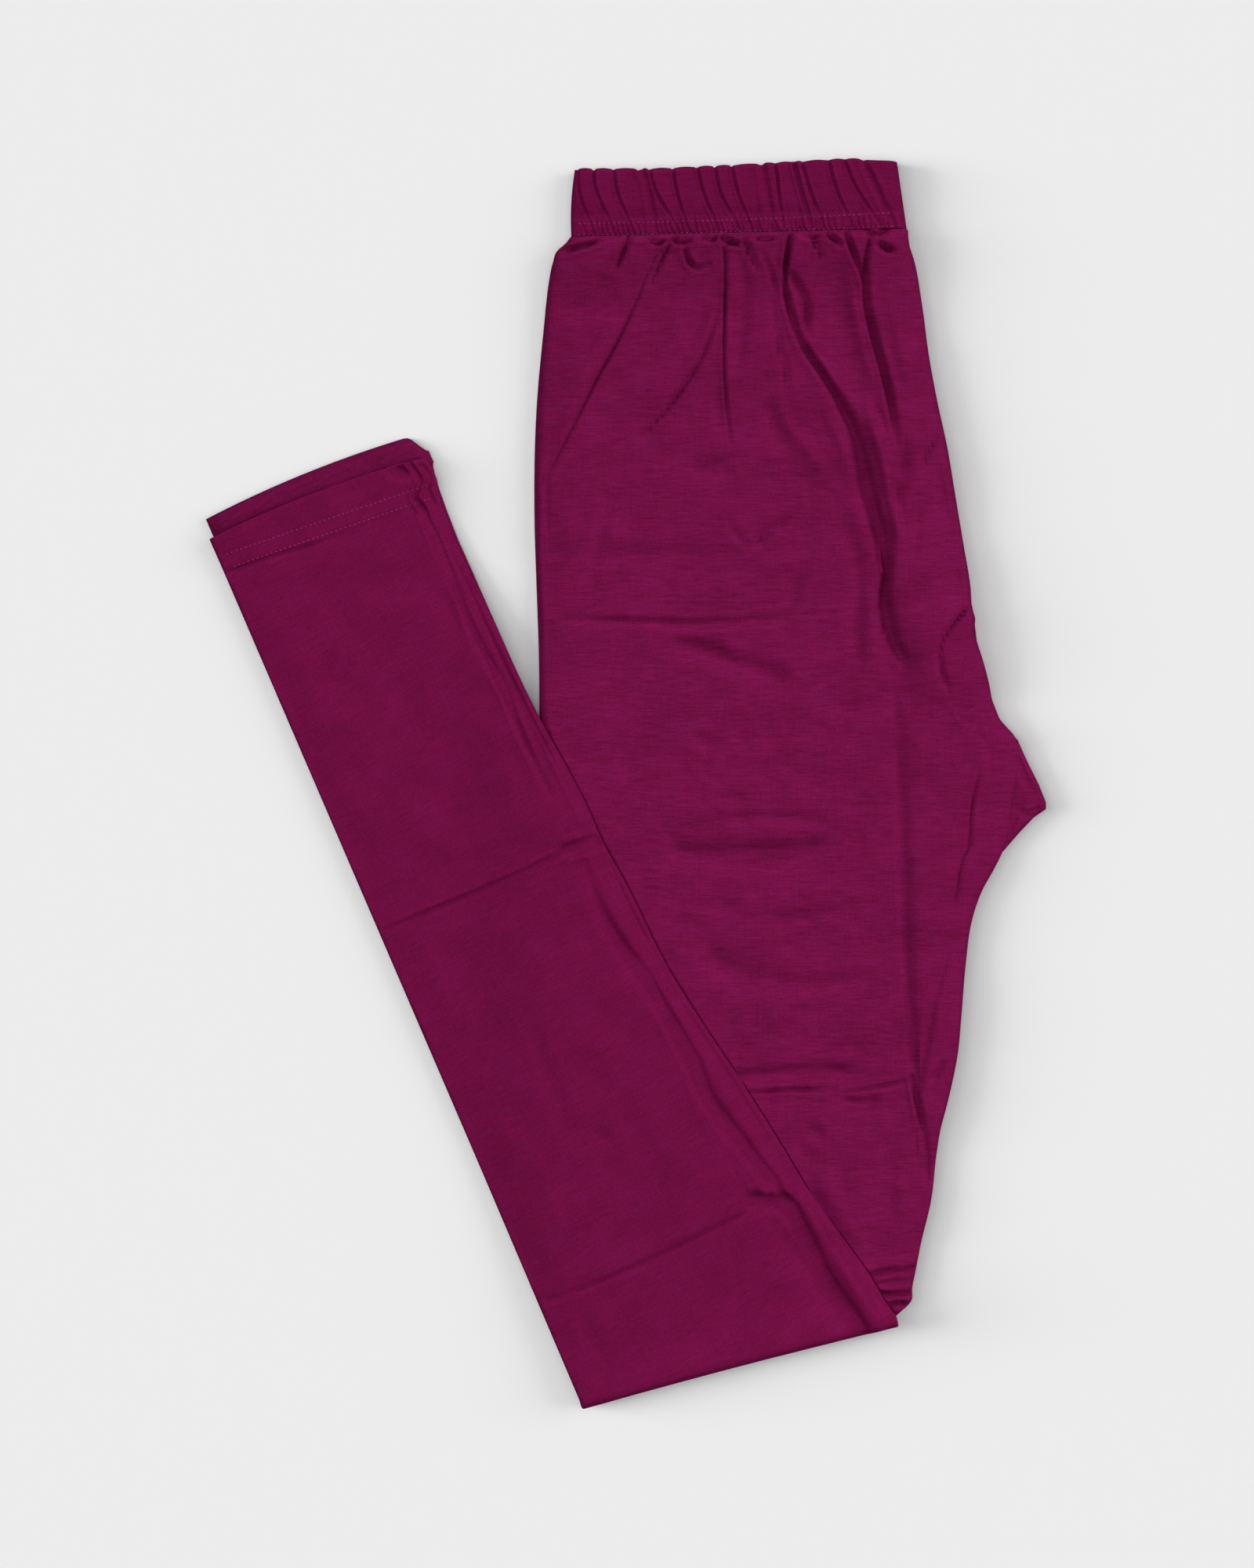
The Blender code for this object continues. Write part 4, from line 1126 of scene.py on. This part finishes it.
BAND_CREASES = [Crease(*row) for row in [
    (((736, 209), (739, 245), (752, 281), (758, 298)), 0.65, 1.55, 1, 0.7, 0.2),
    (((757, 209), (760, 240), (778, 281), (785, 298)), 0.65, 1.65, 1, 0.7, 0.2),
    (((782, 209), (788, 245), (802, 279), (809, 296)), 0.65, 1.55, 1, 0.7, 0.2),
    (((815, 209), (826, 235), (833, 280), (836, 297)), 1.6, 1, 1, 0.5),
    (((828, 209), (836, 240), (858, 279), (868, 296)), 0.65, 1.65, 1, 0.7, 0.2),
    (((858, 209), (864, 245), (875, 281), (880, 298)), 0.65, 1.65, 1, 0.7, 0.2),
    (((889, 209), (898, 245), (911, 276), (918, 293)), 0.65, 1.65, 1, 0.7, 0.2),
    (((912, 209), (920, 245), (936, 276), (945, 293)), 0.65, 1.55, 1, 0.7, 0.2),
    (((934, 209), (942, 245), (954, 276), (961, 293)), 0.65, 1.65, 1, 0.7, 0.2),
    (((972, 209), (978, 240), (982, 272), (984, 289)), 1.8, 0.9, 1, 0.5),
    (((990, 209), (994, 240), (998, 271), (1000, 288)), 0.65, 1.55, 1, 0.7, 0.2),
    (((1014, 209), (1022, 240), (1031, 271), (1036, 288)), 1, 1.6, 1, 0.5),
    (((1025, 209), (1034, 240), (1046, 272), (1052, 289)), 0.65, 1.5, 1, 0.7, 0.2),
    (((1058, 204), (1068, 240), (1081, 270), (1088, 287)), 0.65, 1.55, 1, 0.7, 0.2),
    (((1079, 204), (1092, 235), (1113, 268), (1124, 285)), 0.65, 1.65, 1, 0.7, 0.2),
    (((1102, 204), (1116, 232), (1131, 265), (1139, 282)), 1.6, 0.9, 1, 0.5),
]]

# The upper row of stitches lies this far above the lower edge. The cloth puffs up above it and a
# little between the two rows, and the upper edge is round and scalloped by the pleats
STITCH_HIGH = 8.7
BAND_PUFF = 1.3
BAND_PUFF_START = 2
BAND_PUFF_REACH = 9
BAND_TOP_REACH = 2
SEAM_PUFF = 0.5
SEAM_PUFF_REACH = 1.5
BAND_ROUND = 1
BAND_ROUNDNESS = 0.95
SCALLOP = 0.5
SCALLOP_FROM = 0.9
BAND_UNDERSIDE = 0.4
BAND_LOWER_PLY = 0.8
BAND_UPPER_PLY = 2.2

# Puckers from one row of stitches to the other, in pixels of the photograph: the line of their
# lower ends, and the least and most that they lean and reach up. Their gap is in millimetres
PUCKER_START = (730, 301)
PUCKER_SLOPE = 0.028
PUCKER_FIRST_X = 732
PUCKER_END_X = 1152
PUCKER_LEAN = (2, 9)
PUCKER_HEIGHT = (17, 27)
PUCKER_DROP = 2
PUCKER_DEPTH = (0.1, 0.9)
PUCKER_GAP = 2.7
PUCKER_GAP_SHARE = (0.7, 1.4)


def band_puckers():
    """Short gathers between the two rows of stitches, unevenly spaced."""
    random = np.random.default_rng(21)
    puckers = []
    x = PUCKER_FIRST_X
    while x < PUCKER_END_X:
        low_y = PUCKER_START[1] - (x - PUCKER_START[0]) * PUCKER_SLOPE
        top = (x - random.uniform(*PUCKER_LEAN), low_y - random.uniform(*PUCKER_HEIGHT))
        depth = random.uniform(*PUCKER_DEPTH)
        path = (top, (x, low_y + PUCKER_DROP))
        puckers.append(Crease(path, width=0.55, depth=depth, start=0.4, end=1, lip=0.4))
        x += random.uniform(*PUCKER_GAP_SHARE) * PUCKER_GAP / PIXEL
    return puckers


def band_columns():
    """Share across, level of the outer face, and how far out in a turn each column of the ring is."""
    def between_ends(count):
        """Even shares of the way, without its ends."""
        return np.linspace(0, 1, count + 2)[1:-1]

    shown = between_ends(BAND_COLUMNS)
    hidden = between_ends(BAND_HIDDEN_COLUMNS)
    half = np.linspace(0, pi, BAND_EDGE_COLUMNS)
    turn, bulge = np.cos(half) / 2, np.sin(half)
    runs = (
        (shown[::-1], 3, 0), (0, 2.5 + turn, -bulge), (hidden, 2, 0), (1, 1.5 + turn, 0),
        (hidden[::-1], 1, 0), (0, 0.5 + turn, -bulge),
        (between_ends(2 * BAND_HIDDEN_COLUMNS), 0, 0), (1, 1.5 - 3 * turn, bulge),
    )
    return np.concatenate([np.broadcast_arrays(*run) for run in runs], axis=1)


def make_waistband():
    """The casing and its elastic as one ring, folded in half with the rest."""
    share, level, bulge = band_columns()
    up = spread(BAND_ROWS, BAND_FOCUS)[:, None]
    left = BAND_LEFT[0] + (BAND_LEFT[1] - BAND_LEFT[0]) * up - BAND_BULGE * np.sin(pi * up)
    right = BAND_RIGHT[0] + (BAND_RIGHT[1] - BAND_RIGHT[0]) * up
    left_round = (CASING_FACES[1] - CASING_FACES[0]) / 2
    right_round = CASING_FACES[-1] / 2
    x = left + left_round + (right - right_round - (left + left_round)) * share
    x = x + np.where(bulge > 0, right_round, left_round) * bulge

    across = (x - BAND_LEFT[0]) / (BAND_RIGHT[0] - BAND_LEFT[0])
    bottom = BAND_BOTTOM[0] + (BAND_BOTTOM[1] - BAND_BOTTOM[0]) * across
    pleat_tops = sorted(from_photo(crease.path[0])[0] for crease in BAND_CREASES)
    between = np.interp(x, pleat_tops, np.arange(len(pleat_tops)))
    top = np.interp(across, BAND_TOP_AT, BAND_TOP)
    top = top + BAND_BUMP * (abs(np.sin(pi * between)) - BAND_BUMP_MEAN)
    y = bottom + (top - bottom) * up
    plan = np.stack([x, y], axis=2)

    pleats = relief(plan, BAND_CREASES)
    gathers = relief(plan, band_puckers())
    from_bottom = y - bottom
    puff = BAND_PUFF * smooth((from_bottom - STITCH_HIGH + BAND_PUFF_START) / BAND_PUFF_REACH)
    puff = puff * np.clip((top - y) / BAND_TOP_REACH, 0, 1)
    seam_puff = smooth(from_bottom / SEAM_PUFF_REACH)
    seam_puff = seam_puff * smooth((STITCH_HIGH - from_bottom) / SEAM_PUFF_REACH)
    puff = puff + SEAM_PUFF * seam_puff
    edges = np.minimum(smooth((x - left) / BAND_LEFT_REACH), smooth((right - x) / BAND_RIGHT_REACH))
    z = np.interp(level, LEVELS, CASING_FACES)
    z = z + np.clip(level - 2, 0, 1) * edges * lifted(puff + pleats + gathers)
    z = z + np.clip(1 - level, 0, 1) * BAND_UNDERSIDE * np.clip(-pleats - gathers, 0, 1)

    rounding = np.clip((y - top + BAND_ROUND) / BAND_ROUND, 0, 1)
    thinned = np.sqrt(1 - (BAND_ROUNDNESS * rounding) ** 2)
    side = (level > BAND_UPPER_PLY).astype(int) - (level < BAND_LOWER_PLY)
    z = z - side * CASING / 2 * (1 - thinned)
    plan[..., 1] += SCALLOP * np.clip(pleats, -1, 0) * smooth((up - SCALLOP_FROM) / (1 - SCALLOP_FROM))
    at_seam = CASING_AT_SEAM + (CASING - CASING_AT_SEAM) * smooth(up[:, 0] * BAND_HEIGHT / STITCH_HIGH)
    walls = np.minimum(CASING * thinned[:, 0], at_seam)

    points = np.concatenate([plan, z[..., None]], axis=2)
    points = np.concatenate([points, points[:, :1]], axis=1)
    cut = np.concatenate([plan, plan[:, :1]], axis=1)
    band = cloth_object("waistband_casing", points[:, ::-1], cut[:, ::-1], walls, CASING, casing_jersey_painted_shade)
    bm = bmesh.new()
    bm.from_mesh(band.data)
    bmesh.ops.remove_doubles(bm, verts=bm.verts, dist=CASING_WELD * MM)
    bm.to_mesh(band.data)
    bm.free()
    return band


# The casing's jersey is dyed a little darker than the legs': painted shade on the pleated band
casing_jersey_painted_shade = jersey("casing_jersey_painted_shade", "#700F3F", "#6B1042", 0.8, 1)
waistband = make_waistband()
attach(waistband, "root")
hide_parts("waistband")

BAND_STITCH_ROWS = (((734, 283), (940, 278), (1145, 269)), ((733, 298), (940, 293), (1149, 286)))
band_rows = [(soft_path(path), up) for path in BAND_STITCH_ROWS for up in (1, -1)]
waistband_stitching = stitching("waistband_stitching", waistband, band_rows)


# The floor, light and camera
# A plain pale floor, which sends no light back on the cloth, and broad, soft suns. The cloth is lit
# from above, the right and the top left, and the floor by suns of its own, mostly from the left, so
# that the shadow is wide and pale and falls to the right. The camera looks straight down.

FLOOR_SIZE = 8
FLOOR_BELOW = 0.0001
floor_material, _ = material_of("matt_pale_floor", {
    "Base Color": linear("#ECECEC"), "Roughness": 1.0, "Specular IOR Level": 0.0,
})
bm = bmesh.new()
bmesh.ops.create_grid(bm, x_segments=1, y_segments=1, size=FLOOR_SIZE / 2)
floor = object_of("floor", bm, floor_material)
floor.location.z = -FLOOR_BELOW
floor.visible_diffuse = False

world = bpy.data.worlds.new("even_light")
world.use_nodes = True
world.node_tree.nodes["Background"].inputs["Color"].default_value = (1.0, 1.0, 1.0, 1.0)
world.node_tree.nodes["Background"].inputs["Strength"].default_value = 0.08
bpy.context.scene.world = world

garment = bpy.data.collections.new("garment")
for piece in (leg_below, hem_stitching_below, leg_above, hem_stitching_above, gusset, waistband,
              waistband_stitching):
    garment.objects.link(piece)
ground = bpy.data.collections.new("ground")
ground.objects.link(floor)

# A soft light: what it falls on, where it comes from, its share of the light, its breadth in degrees
Light = namedtuple("Light", "name on way share breadth")
LIGHTS = [
    Light("softbox", garment, (0.05, 0.10, 1.0), 0.50, 110),
    Light("window_right", garment, (0.78, 0.32, 0.46), 0.25, 36),
    Light("window_top_left", garment, (-0.42, 0.76, 0.48), 0.15, 36),
    Light("floor_overhead", ground, (0.0, -0.04, 1.0), 0.30, 60),
    Light("floor_high_left", ground, (-0.78, 0.06, 0.62), 0.20, 40),
    Light("floor_low_left", ground, (-0.95, 0.05, 0.27), 0.24, 26),
    Light("floor_right", ground, (0.80, 0.16, 0.42), 0.18, 44),
]
for light in LIGHTS:
    data = bpy.data.lights.new(light.name, "SUN")
    way = Vector(light.way).normalized()
    data.energy = light.share * pi / way.z
    data.angle = radians(light.breadth)
    lamp = bpy.data.objects.new(light.name, data)
    lamp.rotation_mode = "QUATERNION"
    lamp.rotation_quaternion = way.to_track_quat("Z", "Y")
    lamp.light_linking.receiver_collection = light.on
    bpy.context.scene.collection.objects.link(lamp)

CAMERA_AT = (0.00008, 0.00016, 1.895)
camera_data = bpy.data.cameras.new("camera")
camera_data.lens = 85
camera_data.sensor_width = 36
camera = bpy.data.objects.new("camera", camera_data)
camera.location = CAMERA_AT
bpy.context.scene.collection.objects.link(camera)
bpy.context.scene.camera = camera
bpy.context.scene.view_settings.view_transform = "Standard"
